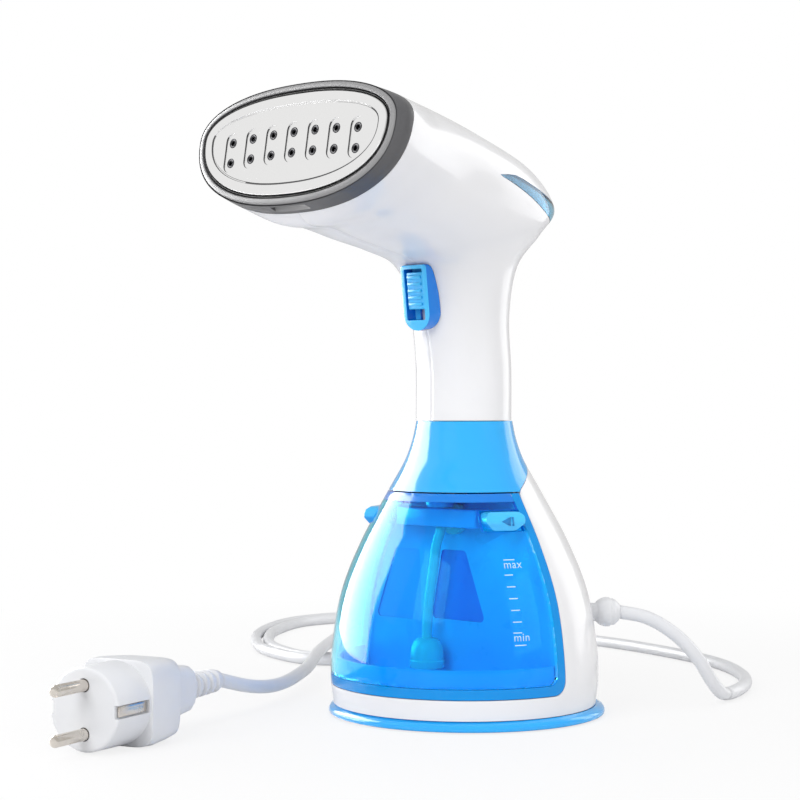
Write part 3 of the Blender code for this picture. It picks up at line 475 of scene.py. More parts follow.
def turned(name, profile, segments=ROUND, closed=False):
    """A profile of (radius, height) turned about local Z; a closed profile makes a ring."""
    bm = bmesh.new()
    rows = []
    for radius, height in profile:
        if radius == 0:
            rows.append([bm.verts.new((0, 0, height * MM))] * segments)
            continue
        turns = [2 * math.pi * i / segments for i in range(segments)]
        ring = [(radius * MM * math.cos(a), radius * MM * math.sin(a), height * MM) for a in turns]
        rows.append([bm.verts.new(point) for point in ring])
    join_rings(bm, rows, closed)
    return from_bmesh(name, bm)


def loft(name, rings, cap=True):
    """Rings of the same number of points joined in order; with no caps the last ring joins the first."""
    bm = bmesh.new()
    rows = [[bm.verts.new(Vector(point) * MM) for point in ring] for ring in rings]
    join_rings(bm, rows, not cap)
    if cap:
        bm.faces.new(rows[0])
        bm.faces.new(rows[-1][::-1])
    return from_bmesh(name, bm)


def shell(name, outer, inner):
    """A wall between two grids of points, closed along all four edges."""
    bm = bmesh.new()
    skins = [[[bm.verts.new(Vector(at) * MM) for at in row] for row in grid] for grid in (outer, inner)]
    rows, columns = len(outer), len(outer[0])
    for skin in skins:
        for i in range(rows - 1):
            for j in range(columns - 1):
                bm.faces.new((skin[i][j], skin[i][j + 1], skin[i + 1][j + 1], skin[i + 1][j]))
    top, under = skins
    border = [(0, j) for j in range(columns)] + [(i, columns - 1) for i in range(1, rows)]
    border += [(rows - 1, j) for j in range(columns - 2, -1, -1)]
    border += [(i, 0) for i in range(rows - 2, 0, -1)]
    for (i, j), (k, m) in zip(border, border[1:] + border[:1]):
        bm.faces.new((top[i][j], top[k][m], under[k][m], under[i][j]))
    return from_bmesh(name, bm)


def spline_at(knots, values, t):
    """A smooth curve through values at knots, read at t, whose slope at a knot blends those on each side."""
    slopes = [(values[i + 1] - values[i]) / (knots[i + 1] - knots[i]) for i in range(len(knots) - 1)]
    i = max(0, min(len(slopes) - 1, sum(knot <= t for knot in knots) - 1))

    def slope(k):
        if k in (0, len(slopes)):
            return slopes[min(k, len(slopes) - 1)]
        before, after = knots[k] - knots[k - 1], knots[k + 1] - knots[k]
        return (after * slopes[k - 1] + before * slopes[k]) / (before + after)

    step = knots[i + 1] - knots[i]
    s = (t - knots[i]) / step
    start = (2 * s**3 - 3 * s**2 + 1) * values[i] + (s**3 - 2 * s**2 + s) * step * slope(i)
    return start + (3 * s**2 - 2 * s**3) * values[i + 1] + (s**3 - s**2) * step * slope(i + 1)


def sampled(points, count):
    """count points along a smooth curve through the given ones."""
    knots = [0.0]
    for first, second in zip(points, points[1:]):
        knots.append(knots[-1] + (Vector(second) - Vector(first)).length)
    axes = list(zip(*points))
    ends = [knots[-1] * i / (count - 1) for i in range(count)]
    return [tuple(spline_at(knots, axis, t) for axis in axes) for t in ends]


def as_mesh(obj):
    """The curve as a welded mesh in the row frame."""
    bpy.context.view_layer.update()
    graph = bpy.context.evaluated_depsgraph_get()
    mesh = bpy.data.meshes.new_from_object(obj.evaluated_get(graph))
    mesh.transform(obj.matrix_world)
    bm = bmesh.new()
    bm.from_mesh(mesh)
    bmesh.ops.remove_doubles(bm, verts=bm.verts, dist=1e-7)
    bmesh.ops.recalc_face_normals(bm, faces=bm.faces)
    bm.to_mesh(mesh)
    bm.free()
    mesh.materials.clear()
    mesh.shade_smooth()
    name = obj.name
    bpy.data.objects.remove(obj, do_unlink=True)
    return link(name, mesh)


def wire(name, points, radius, resolution=5):
    """A round wire or hose through the points."""
    data = bpy.data.curves.new(name, "CURVE")
    data.dimensions = "3D"
    data.bevel_depth = radius * MM
    data.bevel_resolution = resolution
    data.use_fill_caps = True
    line = data.splines.new("POLY")
    line.points.add(len(points) - 1)
    for point, where in zip(line.points, points):
        point.co = (*[value * MM for value in where], 1)
    return as_mesh(link(name, data))


def rounded(corners, steps=10):
    """The outline through (x, y, radius) corners, with an arc at each corner that has a radius."""
    outline = []
    for i, (x, y, radius) in enumerate(corners):
        here = Vector((x, y))
        if not radius:
            outline.append(here)
            continue
        before = (Vector(corners[i - 1][:2]) - here).normalized()
        after = (Vector(corners[(i + 1) % len(corners)][:2]) - here).normalized()
        half = before.angle(after) / 2
        centre = here + (before + after).normalized() * radius / math.sin(half)
        start = here + before * radius / math.tan(half) - centre
        sweep = start.angle_signed(here + after * radius / math.tan(half) - centre)
        for k in range(steps + 1):
            arm = start.copy()
            arm.rotate(Matrix.Rotation(-sweep * k / steps, 2))
            outline.append(centre + arm)
    return [tuple(point) for point in outline]


def plate(name, outline, thickness, bevel=0.0, location=(0, 0, 0), rotation=(0, 0, 0)):
    """A flat outline in local XY, extruded by half its thickness each way, with rounded rims."""
    data = bpy.data.curves.new(name, "CURVE")
    data.dimensions = "2D"
    data.fill_mode = "BOTH"
    data.extrude = (thickness / 2 - bevel) * MM
    data.bevel_depth = bevel * MM
    data.bevel_resolution = 3
    data.offset = -bevel * MM
    line = data.splines.new("POLY")
    line.points.add(len(outline) - 1)
    for point, (x, y) in zip(line.points, outline):
        point.co = (x * MM, y * MM, 0, 1)
    line.use_cyclic_u = True
    return as_mesh(place(link(name, data), location, rotation))


def side_cutter(name, corners):
    """A (y, z) outline as seen from the side, run across the whole width."""
    return plate(name, rounded(corners), 4 * FAR, rotation=SIDEWAYS)


def combine(obj, operation, *others):
    for other in others:
        boolean = obj.modifiers.new(operation.lower(), "BOOLEAN")
        boolean.operation = operation
        boolean.object = cutter(other)
        boolean.solver = "EXACT"
    return obj


def settled(obj, angle=32, bevel=0.0):
    """The object as one plain mesh in the row frame, its modifiers applied and its sharp edges marked."""
    bpy.context.view_layer.update()
    graph = bpy.context.evaluated_depsgraph_get()
    shown = obj.evaluated_get(graph)
    mesh = bpy.data.meshes.new_from_object(shown, preserve_all_data_layers=True, depsgraph=graph)
    mesh.transform(obj.matrix_world)
    bm = bmesh.new()
    bm.from_mesh(mesh)
    bmesh.ops.remove_doubles(bm, verts=bm.verts, dist=2e-6)
    bmesh.ops.dissolve_degenerate(bm, edges=bm.edges, dist=1e-6)
    bm.to_mesh(mesh)
    bm.free()
    name = obj.name
    bpy.data.objects.remove(obj, do_unlink=True)
    mesh.shade_smooth()
    mesh.set_sharp_from_angle(angle=math.radians(angle))
    made = link(name, mesh)
    if bevel:
        edge = made.modifiers.new("edge", "BEVEL")
        edge.width = bevel * MM
        edge.segments = 2
        edge.limit_method = "ANGLE"
        edge.angle_limit = math.radians(50)
        edge.harden_normals = True
    return made


def finished(obj, name, node):
    """The piece takes its finish and stands for the CAD node."""
    obj.data.materials.clear()
    obj.data.materials.append(finish(name))
    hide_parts(node)
    return obj


def stand_in(obj, name, node):
    """The finished piece, riding on the body of the CAD node it stands for."""
    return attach(finished(obj, name, node), BODY_OF[node])


def paint(obj, name, chosen):
    """Gives a second finish to the faces that chosen(face) picks."""
    obj.data.materials.append(finish(name))
    slot = len(obj.data.materials) - 1
    for face in obj.data.polygons:
        if chosen(face):
            face.material_index = slot


def superellipse(across, up, squareness, angle):
    """A point of an ellipse with fuller corners the higher its squareness is above 2."""

    def power(value):
        return math.copysign(abs(value) ** (2 / squareness), value)

    return across * power(math.cos(angle)), up * power(math.sin(angle))


# ---------------------------------------------------------------- turned body


def body_radius(height):
    heights, radii = zip(*BODY)
    return spline_at(heights, radii, max(heights[0], min(heights[-1], height)))


def body_wall(low, high, wall, inset=0.0, levels=36):
    """A closed profile of the body's wall between two heights."""
    heights = [high + (low - high) * i / levels for i in range(levels + 1)]
    outer = [(body_radius(height) - inset, height) for height in heights]
    inner = [(body_radius(height) - inset - wall, height) for height in reversed(heights)]
    return outer + inner


def body_solid(low, high, inset=0.0, levels=36):
    heights = [high + (low - high) * i / levels for i in range(levels + 1)]
    return [(0, high), *[(body_radius(height) - inset, height) for height in heights], (0, low)]


def on_body(turn, height, proud=0.0):
    """A point on the body, with turn measured from the front towards the user's left."""
    radius = body_radius(height) + proud
    return radius * math.sin(turn), -radius * math.cos(turn), height


def rear_region(margin=0.0):
    """The side outline of the rear shell: everything behind the split, and the band under the tank."""
    low = underside("rear_shell")
    top = [(y, z + margin, 0) for y, z in ((FAR, REAR_TOP), (30, REAR_TOP), (18, 109))]
    split = SPLIT_Y - margin
    front = [(split, TANK_TOP + margin, 6), (split, TANK_FLOOR, 6), (-FAR, TANK_FLOOR, 0)]
    return [(-FAR, low, 0), (FAR, low, 0)] + top + front


def front_region(back, low, radius, top=100):
    return [(-FAR, low, 0), (back, low, radius), (back, top, 0), (-FAR, top, 0)]


def make_collar():
    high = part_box("collar")[1].z / MM
    made = turned("fine_collar", body_wall(underside("collar"), high, BODY_WALL), closed=True)
    combine(made, "DIFFERENCE", side_cutter("collar_rear_cut", rear_region(GAP)))
    stand_in(settled(made, bevel=0.3), "sky_plastic", "collar")


def make_rear_shell():
    low = underside("rear_shell")
    made = turned("fine_rear_shell", body_wall(low, REAR_TOP + 10, BODY_WALL, levels=48), closed=True)
    combine(made, "INTERSECT", side_cutter("rear_region", rear_region()))
    hole = turned("cord_hole", [(0, 5), (4.3, 5), (4.3, -20), (0, -20)], 48)
    place(hole, BALL_CENTRE, BALL_ROTATION)
    combine(made, "DIFFERENCE", hole)
    stand_in(settled(made, bevel=0.3), "white_plastic", "rear_shell")


def make_base():
    corners = [(50, 4.4, 0), (57.6, 4.6, 0.6), (61.4, 2.6, 2.2), (60.2, 0.5, 0.6), (50, 0.5, 0)]
    ring = turned("fine_base_ring", rounded(corners, 8), closed=True)
    stand_in(place(ring, (0, BASE_Y, 0)), "sky_plastic", "base_ring")
    disc = [(0, 4.2), (49.2, 4.2), (49.6, 3.8), (49.6, 1.5), (49.2, 1.2), (30, 1.2), (29.4, 1.7)]
    disc += [(28.8, 1.2), (14.4, 1.2), (13.4, 0.3), (13, 0), (0, 0)]
    base = place(turned("fine_base_plate", disc), (0, BASE_Y, 0))
    stand_in(settled(base, angle=25), "sky_plastic", "base_plate")
    for node in ("foot_1", "foot_2", "foot_3"):
        low, high = box(node)
        pad = [(0, high.z), (4.9, high.z), (5, high.z - 0.1), (5, 0.35), (4.65, 0), (3.4, 0)]
        pad += [(3.2, 0.2), (0, 0.2)]
        foot = place(turned(f"fine_{node}", pad, 48), ((low.x + high.x) / 2, (low.y + high.y) / 2, 0))
        stand_in(settled(foot, angle=25), "rubber", node)


# ---------------------------------------------------------------- tank


def button_place(side, proud=0.0):
    """Where a button meets the tank, or stands proud of it, and which way it faces."""
    turn = BUTTON_AZIMUTH - math.radians(90)
    return on_body(side * BUTTON_AZIMUTH, BUTTON_Z, proud), turn if side > 0 else math.pi - turn


def at_button(obj, side):
    """Local X points outwards at the button, and local Y runs along its width."""
    where, facing = button_place(side)
    return place(obj, where, (0, 0, facing))


def button_windows():
    size = (20, BUTTON_W + 0.8, BUTTON_H + 0.8)
    return [at_button(block("button_window", size), side) for side in (1, -1)]


def make_tank_shell():
    """The clear front of the tank, with a roof; the frame closes it at the back and underneath."""
    made = turned("fine_tank_shell", body_solid(SHELL_LOW - 4, TANK_HIGH, levels=48))
    combine(made, "INTERSECT", side_cutter("shell_region", front_region(SHELL_BACK, SHELL_LOW, 4.5)))
    inside = turned("shell_inside", body_solid(5, TANK_HIGH - 2, inset=2.0, levels=48))
    combine(made, "DIFFERENCE", inside)
    filler = turned("filler_hole", [(0, 99), (8.3, 99), (8.3, 96.2), (6.5, 96.2), (6.5, 90), (0, 90)], 64)
    combine(made, "DIFFERENCE", place(filler, (0, FILLER_Y, 0)))
    made = combine(settled(made, bevel=0.25), "DIFFERENCE", *button_windows())
    made = stand_in(settled(made), "tank_plastic", "tank_shell")
    paint(made, "deep_plastic", lambda face: face.center.z / MM > ROOF_Z)
    paint(made, "wall_plastic", on_shell_edge)
    paint(made, "window_plastic", on_window_edge)


def on_window_edge(face):
    """Whether a face is a wall of the window that a release button comes through."""
    x, y, z = face.center / MM
    across = abs(x) * math.cos(BUTTON_AZIMUTH) + y * math.sin(BUTTON_AZIMUTH)
    share = max(abs(across) / (BUTTON_W / 2 + 0.4), abs(z - BUTTON_Z) / (BUTTON_H / 2 + 0.4))
    return abs(x) > 20 and 0.97 < share < 1.03


def on_shell_edge(face):
    """Whether a face is on the cut edge of the clear shell, where it meets the frame."""
    y, z = face.center.y / MM, face.center.z / MM
    return z < ROOF_Z and (y > SHELL_BACK - 0.2 or z < SHELL_LOW + 0.2)


def make_tank_frame():
    made = turned("fine_tank_frame", body_solid(TANK_LOW - 3, TANK_HIGH, levels=48))
    combine(made, "INTERSECT", side_cutter("frame_region", front_region(FRAME_BACK, TANK_LOW, 5.8)))
    cut = front_region(SHELL_BACK + GAP, SHELL_LOW - GAP, 4.8)
    combine(made, "DIFFERENCE", side_cutter("frame_shell_cut", cut))
    pocket = turned("tank_inside", body_solid(INSIDE_LOW, 93, inset=4.5))
    combine(pocket, "INTERSECT", side_cutter("inside_region", front_region(WALL_FACE_Y, 0, 0)))
    combine(made, "DIFFERENCE", settled(pocket), *button_windows())
    valve = turned("valve_hole", [(0, 9), (4.9, 9), (4.9, 2), (0, 2)], 48)
    combine(made, "DIFFERENCE", place(valve, (0, 0, VALVE_Z), UPRIGHT))
    middle = [(-14.6, 40.5, 2), (16.4, 40.5, 2), (5.0, 71.0, 2), (-8.6, 71.0, 2)]
    beside = [(-49, 39, 2), (-21, 39, 2), (-22, 70.5, 2), (-37, 70.5, 2)]
    for name, corners, depth in (("tank_panel", middle, 0.8), ("tank_side_panel", beside, 0.6)):
        panel = plate(name, rounded(corners), 2 * depth, rotation=UPRIGHT)
        panel.data.transform(Matrix.Translation((0, WALL_FACE_Y * MM, 0)))
        combine(made, "DIFFERENCE", panel)
    made = settled(made)
    curb = turned("tank_curb", body_wall(15, CURB_TOP, 1.3, inset=2.4, levels=8), closed=True)
    combine(curb, "INTERSECT", side_cutter("curb_region", front_region(SHELL_BACK, 14.9, 0)))
    combine(made, "UNION", settled(curb))
    made = stand_in(settled(made, bevel=0.25), "frame_plastic", "tank_frame")
    paint(made, "wall_plastic", inside_tank)
    # The middle panel of the back wall takes a deeper blue as painted shade: the darker region with nothing
    # light behind it.
    paint(made, "panel_plastic", on_tank_panel)
    paint(made, "cyan_plastic", on_side_panel)


def inside_tank(face):
    """Whether a face of the tank frame looks into the tank."""
    x, y, z = face.center / MM
    return y < WALL_FACE_Y + 0.1 and z > INSIDE_LOW - 0.1 and math.hypot(x, y) < body_radius(z) - 2.3


def on_tank_panel(face):
    x, y, z = face.center / MM
    return WALL_FACE_Y + 0.7 < y < WALL_FACE_Y + 1.0 and abs(x) < 20 and 38 < z < 74


def on_side_panel(face):
    x, y, z = face.center / MM
    return WALL_FACE_Y + 0.5 < y < WALL_FACE_Y + 0.7 and x < -20 and 36 < z < 74


def make_tank_inside():
    profile = [(4.6, 9.5), (4.6, 8.4), (6.8, 8.4), (7, 8.2), (7, 5.6), (6.8, 5.4), (4.6, 5.4)]
    profile += [(4.6, 2.9), (2.1, 2.9), (2.1, 9.5)]
    valve = turned("fine_tank_valve", profile, 64, closed=True)
    stand_in(settled(place(valve, (0, 0, VALVE_Z), UPRIGHT)), "soft_white_plastic", "tank_valve")

    cap = [(0, 97.1), (2.6, 97.1), (2.8, 96.8), (5.2, 96.8), (5.4, 97.1), (7.7, 97.1), (8, 96.8), (8, 96.5)]
    cap += [(6.2, 96.5), (6.3, 94), (6.0, 93.6), (6.2, 93), (5.9, 90.5), (0, 90.5)]
    plug = place(turned("fine_filler_plug", cap, 64), (0, FILLER_Y, 0))
    stand_in(settled(plug), "cyan_plastic", "filler_plug")

    down = [(0.2, 78), (0.6, 62), (0.93, 44), (1, 34), (1, 26)]
    path = [(0, -10.2, VALVE_Z), (-0.4, -11.6, VALVE_Z - 0.4)]
    path += [(share * HOSE_X, HOSE_Y, z) for share, z in down]
    stand_in(wire("fine_dip_hose", sampled(path, 90), 2.2, 7), "soft_white_plastic", "dip_hose")

    dome = [(2.6, 33), (4.4, 32.7), (5.6, 31.6), (6.6, 29.4), (7.2, 26.6), (7.2, 23.6)]
    dome += [(7.6, 23.2), (7.6, 20.4), (7.3, 20), (2.6, 20)]
    weight = place(turned("fine_hose_weight", dome, 72, closed=True), (HOSE_X, HOSE_Y, 0))
    stand_in(settled(weight, angle=40), "soft_white_plastic", "hose_weight")

    low, high = box("latch_carrier")
    carrier = place(block("fine_latch_carrier", high - low, 0.8), (high + low) / 2)
    channel = place(block("latch_channel", (24, 12.2, 12), 0.4), (0, -11.1, BUTTON_Z))
    combine(carrier, "DIFFERENCE", channel)
    stand_in(settled(carrier), "cyan_plastic", "latch_carrier")


def make_button(side, name):
    """A pill with its lower corners cut away and a wedge for its face, with a triangle and a bar on it."""
    half, end = BUTTON_H / 2, BUTTON_W / 2
    profile = [(-5.5, -half), (-5.5, half), (1.4, half), (3.0, 2.6)]
    profile += [(BUTTON_PROUD, 0.8), (BUTTON_PROUD, -1.0), (2.4, -half)]
    button = plate(f"fine_{name}", profile, BUTTON_W, 0.5, rotation=UPRIGHT)
    corners = [(-end, half, 3.2), (-end, -0.6, 1.8), (-5.2, -half, 3.0)]
    corners += [(-across, up, radius) for across, up, radius in reversed(corners)]
    combine(button, "INTERSECT", plate(f"{name}_outline", rounded(corners), 30, rotation=SIDEWAYS))
    for way in (1, -1):
        corner = block(f"{name}_facet_{way}", (10, 6, 20))
        place(corner, (6.4, way * 10.6, 0), (0, 0, way * math.radians(-38)))
        combine(button, "DIFFERENCE", corner)
    button = at_button(settled(button, angle=26, bevel=0.3), side)
    triangle = [(-2.0, 1.9), (-2.0, -1.9), (2.2, 0)]
    bar = [(-3.2, 1.9), (-3.7, -1.8), (-3.1, -1.9), (-2.6, 1.8)]
    for label, outline in (("triangle", triangle), ("bar", bar)):
        mark = plate(f"{name}_{label}", [(-side * x, y) for x, y in outline], 0.5)
        mark.matrix_world = button_face_matrix(side)
        coat(mark, "symbol_ink", BODY_OF[name])
    stand_in(button, "cyan_plastic", name)


def button_face_matrix(side):
    """Puts a symbol drawn in XY on the button's flat face, its point towards the nozzle side."""
    where, facing = button_place(side, BUTTON_PROUD)
    upright = Matrix.Rotation(math.radians(90), 4, "X") @ Matrix.Rotation(math.radians(90), 4, "Y")
    return Matrix.Translation(Vector(where) * MM) @ Matrix.Rotation(facing, 4, "Z") @ upright


def make_level_marks():
    """Fill-level lines and words on the tank's left side, wrapped onto its surface."""
    lines = [(70.3, 61.1, 67.1), (40.8, 62.1, 66.0), (35.7, 62.5, 67.7)]
    lines += [(64.2 - 4.75 * i, 60.6 + 0.4 * i, 64.9 + 0.35 * i) for i in range(5)]
    steps = 6
    bm = bmesh.new()
    for height, start, end in lines:
        turns = [math.radians(start + (end - start) * k / steps) for k in range(steps + 1)]
        corners = [(-LINE_HALF_H, 0.02), (LINE_HALF_H, 0.02), (LINE_HALF_H, 0.1), (-LINE_HALF_H, 0.1)]
        rows = []
        for lift, proud in corners:
            points = [Vector(on_body(turn, height + lift, proud)) * MM for turn in turns]
            rows.append([bm.verts.new(point) for point in points])
        for near, far in zip(rows, rows[1:] + rows[:1]):
            for k in range(steps):
                bm.faces.new((near[k], near[k + 1], far[k + 1], far[k]))
        bm.faces.new([row[0] for row in rows])
        bm.faces.new([row[-1] for row in rows])
    coat(from_bmesh("level_lines", bm), "mark_ink", "tank")
    for word, height, turn in (("max", 66.9, math.radians(60.7)), ("min", 37.4, math.radians(62.1))):
        wrapped_word(word, height, turn)


def wrapped_word(word, height, turn):
    """A word in Blender's own typeface, wrapped onto the body from turn onwards."""
    data = bpy.data.curves.new(f"level_{word}", "FONT")
    data.body = word
    data.size = 4.7 * MM
    data.extrude = 0.04 * MM
    data.space_character = 1.1
    made = as_mesh(link(f"level_{word}", data))
    for vertex in made.data.vertices:
        x, y, z = vertex.co / MM
        level = height + y
        across = turn + x / body_radius(level)
        vertex.co = Vector(on_body(across, level, 0.06 + z)) * MM
    coat(made, "mark_ink", "tank")


def coil(radius, start, end, turns=5, steps=28):
    """Points of a helix as (along, across, across) from start to end."""
    points = []
    for i in range(turns * steps + 1):
        angle = 2 * math.pi * i / steps
        along = start + (end - start) * i / (turns * steps)
        points.append((along, radius * math.cos(angle), radius * math.sin(angle)))
    return points


def make_button_spring(side, name):
    """The spring at rest against its button."""
    inner, outer = -12.4, -5.8
    made = at_button(wire(f"fine_{name}", coil(2.4, inner, outer), SPRING_WIRE, 3), side)
    bpy.context.view_layer.update()
    made.data.transform(made.matrix_world)
    made.matrix_world = Matrix.Identity(4)
    stand_in(made, "bare_steel", name)
    outward = Vector((side * math.sin(BUTTON_AZIMUTH), -math.cos(BUTTON_AZIMUTH), 0))
    anchor = outward * (body_radius(BUTTON_Z) + inner) * MM + Vector((0, 0, BUTTON_Z * MM))
    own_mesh(made)


def make_pump_spring():
    """The spring from the pump's piston to the end of its bore."""
    low, high = box("pump_spring")
    helix = coil(3, low.z + SPRING_WIRE, high.z - SPRING_WIRE)
    points = [(x, y, z) for z, x, y in helix]
    spring = finished(wire("fine_pump_spring", points, SPRING_WIRE, 3), "bare_steel", "pump_spring")
    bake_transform(spring)


# ---------------------------------------------------------------- head and handle


def head_section(t):
    knots = list(range(len(HEAD)))
    values = list(zip(*[(*low, *high, width, power, share) for low, high, width, power, share in HEAD]))
    y0, z0, y1, z1, width, power, share = (spline_at(knots, row, t) for row in values)
    return Vector((y0, z0)), Vector((y1, z1)), width, power, share


def head_point(t, angle, inset=0.0, lift=0.0):
    """A point of section t, moved in by inset and lifted off the face; 90 degrees is its rear or top."""
    low, high, width, power, share = head_section(t)
    length = (high - low).length
    along = (high - low) / length
    up = length * (1 - share) if math.sin(angle) > 0 else length * share
    x, v = superellipse(width - inset, up - inset, power, angle)
    y, z = low + along * (length * share + v)
    return x, y - lift * math.cos(FACE_TILT), z + lift * math.sin(FACE_TILT)


def full_ring(t, inset=0.0, lift=0.0, count=192):
    return [head_point(t, 2 * math.pi * i / count, inset, lift) for i in range(count)]


def lens_corners(margin):
    """The side outline of the leaf-shaped light band that wraps round the rear of the head."""
    upper = [(-8, 232.2), (5, 229.9), (17, 227.4), (60, 217)]
    lower = [(60, 206.8), (24, 217.6), (4, 225), (-9, 228.8)]
    tip, tip_end = (-20 - margin, 231.6), (-18 - margin, 230.8)
    raised = [(y, z + margin) for y, z in upper]
    lowered = [(y, z - margin) for y, z in lower]
    smooth_top = sampled([tip, *raised], 14)
    smooth_low = sampled([*lowered, tip_end], 14)
    return [(y, z, 0) for y, z in smooth_top + smooth_low]


def on_switch(up, depth):
    """A place on the switch's centre line, up its face and depth behind it."""
    cos, sin = math.cos(SWITCH_LEAN), math.sin(SWITCH_LEAN)
    return 0, SWITCH_CENTRE[1] - up * sin + depth * cos, SWITCH_CENTRE[2] + up * cos + depth * sin


def switch_block(name, size, up, depth, bevel=0.0):
    """A block lined up with the switch."""
    return place(block(name, size, bevel), on_switch(up, depth), SWITCH_ROTATION)


def on_face(x, up, depth):
    """A place on the nozzle's face: across, up along the face and depth behind it."""
    cos, sin = math.cos(FACE_TILT), math.sin(FACE_TILT)
    return x, FACE_CENTRE[1] + up * sin + depth * cos, FACE_CENTRE[2] + up * cos - depth * sin


def make_housing(side, name):
    """One half of the clamshell, its parting edge rounded so that the seam shows as a fine line."""
    rows, steps = 72, 44
    outer, inner = [], []
    edge = [(SEAM, 0.14), (SEAM + 0.05, 0.04), (SEAM + 0.14, 0)]
    for i in range(rows + 1):
        t = BEZEL_BACK * i / rows
        arc = [math.radians(-90 + 180 * k / steps) for k in range(steps + 1)]
        skin = [head_point(t, angle) for angle in arc]
        skin = [(max(x, SEAM + 0.14), y, z) for x, y, z in skin]
        first, last = math.radians(-90), math.radians(90)
        start = [(x, *head_point(t, first, inset)[1:]) for x, inset in edge]
        end = [(x, *head_point(t, last, inset)[1:]) for x, inset in reversed(edge)]
        skin = start[:2] + skin + end[1:]
        under = [head_point(t, angle, HEAD_WALL) for angle in arc]
        under = [(max(x, SEAM + 0.14), y, z) for x, y, z in under]
        low, high = head_point(t, first, HEAD_WALL), head_point(t, last, HEAD_WALL)
        under_start = [(x, *low[1:]) for x in (SEAM, SEAM + 0.05)]
        under_end = [(x, *high[1:]) for x in (SEAM + 0.05, SEAM)]
        under = under_start + under + under_end
        outer.append([(side * x, y, z) for x, y, z in skin])
        inner.append([(side * x, y, z) for x, y, z in under])
    made = shell(f"fine_{name}", outer, inner)
    trim = block(f"{name}_trim", (300, 300, 200))
    combine(made, "INTERSECT", place(trim, (0, 0, underside(name) + 100)))
    combine(made, "DIFFERENCE", side_cutter(f"{name}_lens_cut", lens_corners(GAP)))
    size = (WINDOW_W + 2.6, WINDOW_H + 2.6, 2 * (WELL_DEPTH + 1.6))
    combine(made, "DIFFERENCE", switch_block(f"{name}_tub", size, WINDOW_UP, 0))
    if side < 0:
        for i, (y, z) in enumerate(HOUSING_SCREWS):
            bore = turned(f"{name}_bore_{i}", [(0, 60), (3.1, 60), (3.1, 5), (0, 5)], 48)
            combine(made, "DIFFERENCE", place(bore, (0, y, z), (0, math.radians(-90), 0)))
            make_screw_well(i, y, z)
    stand_in(settled(made, angle=28), "white_plastic", name)


def make_screw_well(index, y, z):
    """The moulded tube that holds a housing screw at the bottom of its counterbore."""
    profile = [(4.4, 22), (3.1, 22), (3.1, 8), (1.8, 8), (1.8, 1), (4.4, 1)]
    well = turned(f"screw_well_{index + 1}", profile, 48, closed=True)
    place(well, (0, y, z), (0, math.radians(-90), 0))
    rings = [full_ring(BEZEL_BACK * k / 36, HEAD_WALL / 2, count=96) for k in range(37)]
    combine(well, "INTERSECT", loft(f"well_core_{index}", rings))
    coat(settled(well), "white_plastic", BODY_OF["housing_right"])


def make_lens():
    stations = [3.5 + 4 * i / 40 for i in range(41)]
    outer = [full_ring(t, -0.05) for t in stations]
    inner = [full_ring(t, 2.0) for t in stations]
    made = loft("fine_indicator_lens", outer + inner[::-1], cap=False)
    combine(made, "INTERSECT", side_cutter("lens_region", lens_corners(0)))
    front = place(block("lens_front_cut", (200, 200, 200)), (0, -122, 230))
    combine(made, "DIFFERENCE", front)
    stand_in(settled(made, angle=28, bevel=0.2), "lens_plastic", "indicator_lens")


def make_bezel():
    rings = [full_ring(BEZEL_BACK, 0.5, 0.3), full_ring(BEZEL_BACK, 0.15, 0.15)]
    rings += [full_ring(BEZEL_BACK + 0.02 + 0.96 * i / 12) for i in range(12)]
    rim = [(0.0, -2.6), (0.12, -1.7), (0.45, -0.9), (1.0, -0.35), (1.7, -0.05), (2.5, 0.0)]
    rim += [(2.85, -0.25), (3.0, -0.9), (3.1, -5), (5.0, -7.4)]
    rings += [full_ring(FACE, inset, lift) for inset, lift in rim]
    made = loft("fine_nozzle_bezel", rings, cap=False)
    slot = block("latch_slot", (20, 4.0, 9), 0.5)
    combine(made, "DIFFERENCE", place(slot, (0, -105.5, 210.5), (math.radians(14), 0, 0)))
    made = stand_in(settled(made, angle=38), "grey_plastic", "nozzle_bezel")
    ahead = Vector((0, -math.cos(FACE_TILT), math.sin(FACE_TILT)))
    paint(made, "rim_plastic", lambda face: face.normal.dot(ahead) > 0.6)

    seal = [(3.3, -1.1), (3.45, -0.8), (3.85, -0.8), (4.0, -1.1), (4.0, -3.4), (3.3, -3.4)]
    ring = loft("fine_nozzle_seal", [full_ring(FACE, *where) for where in seal], cap=False)
    stand_in(ring, "rubber", "nozzle_seal")


def hole_places():
    middle = (HOLE_COLUMNS - 1) / 2
    places = []
    for row in (1, -1):
        for column in range(HOLE_COLUMNS):
            arch = HOLE_ARCH * (1 - ((column - middle) / middle) ** 2)
            places.append(((column - middle) * HOLE_PITCH, -HOLE_DROP + row * HOLE_ROW_PITCH / 2 + arch))
    return places


def obround_ring(x, up, half_width, half_length, depth, count=48):
    """A stadium outline on the nozzle's face."""
    ring = []
    straight = half_length - half_width
    for i in range(count):
        angle = 2 * math.pi * i / count
        shift = straight if math.sin(angle) >= 0 else -straight
        across, along = half_width * math.cos(angle), half_width * math.sin(angle) + shift
        ring.append(on_face(x + across, up + along, depth))
    return ring


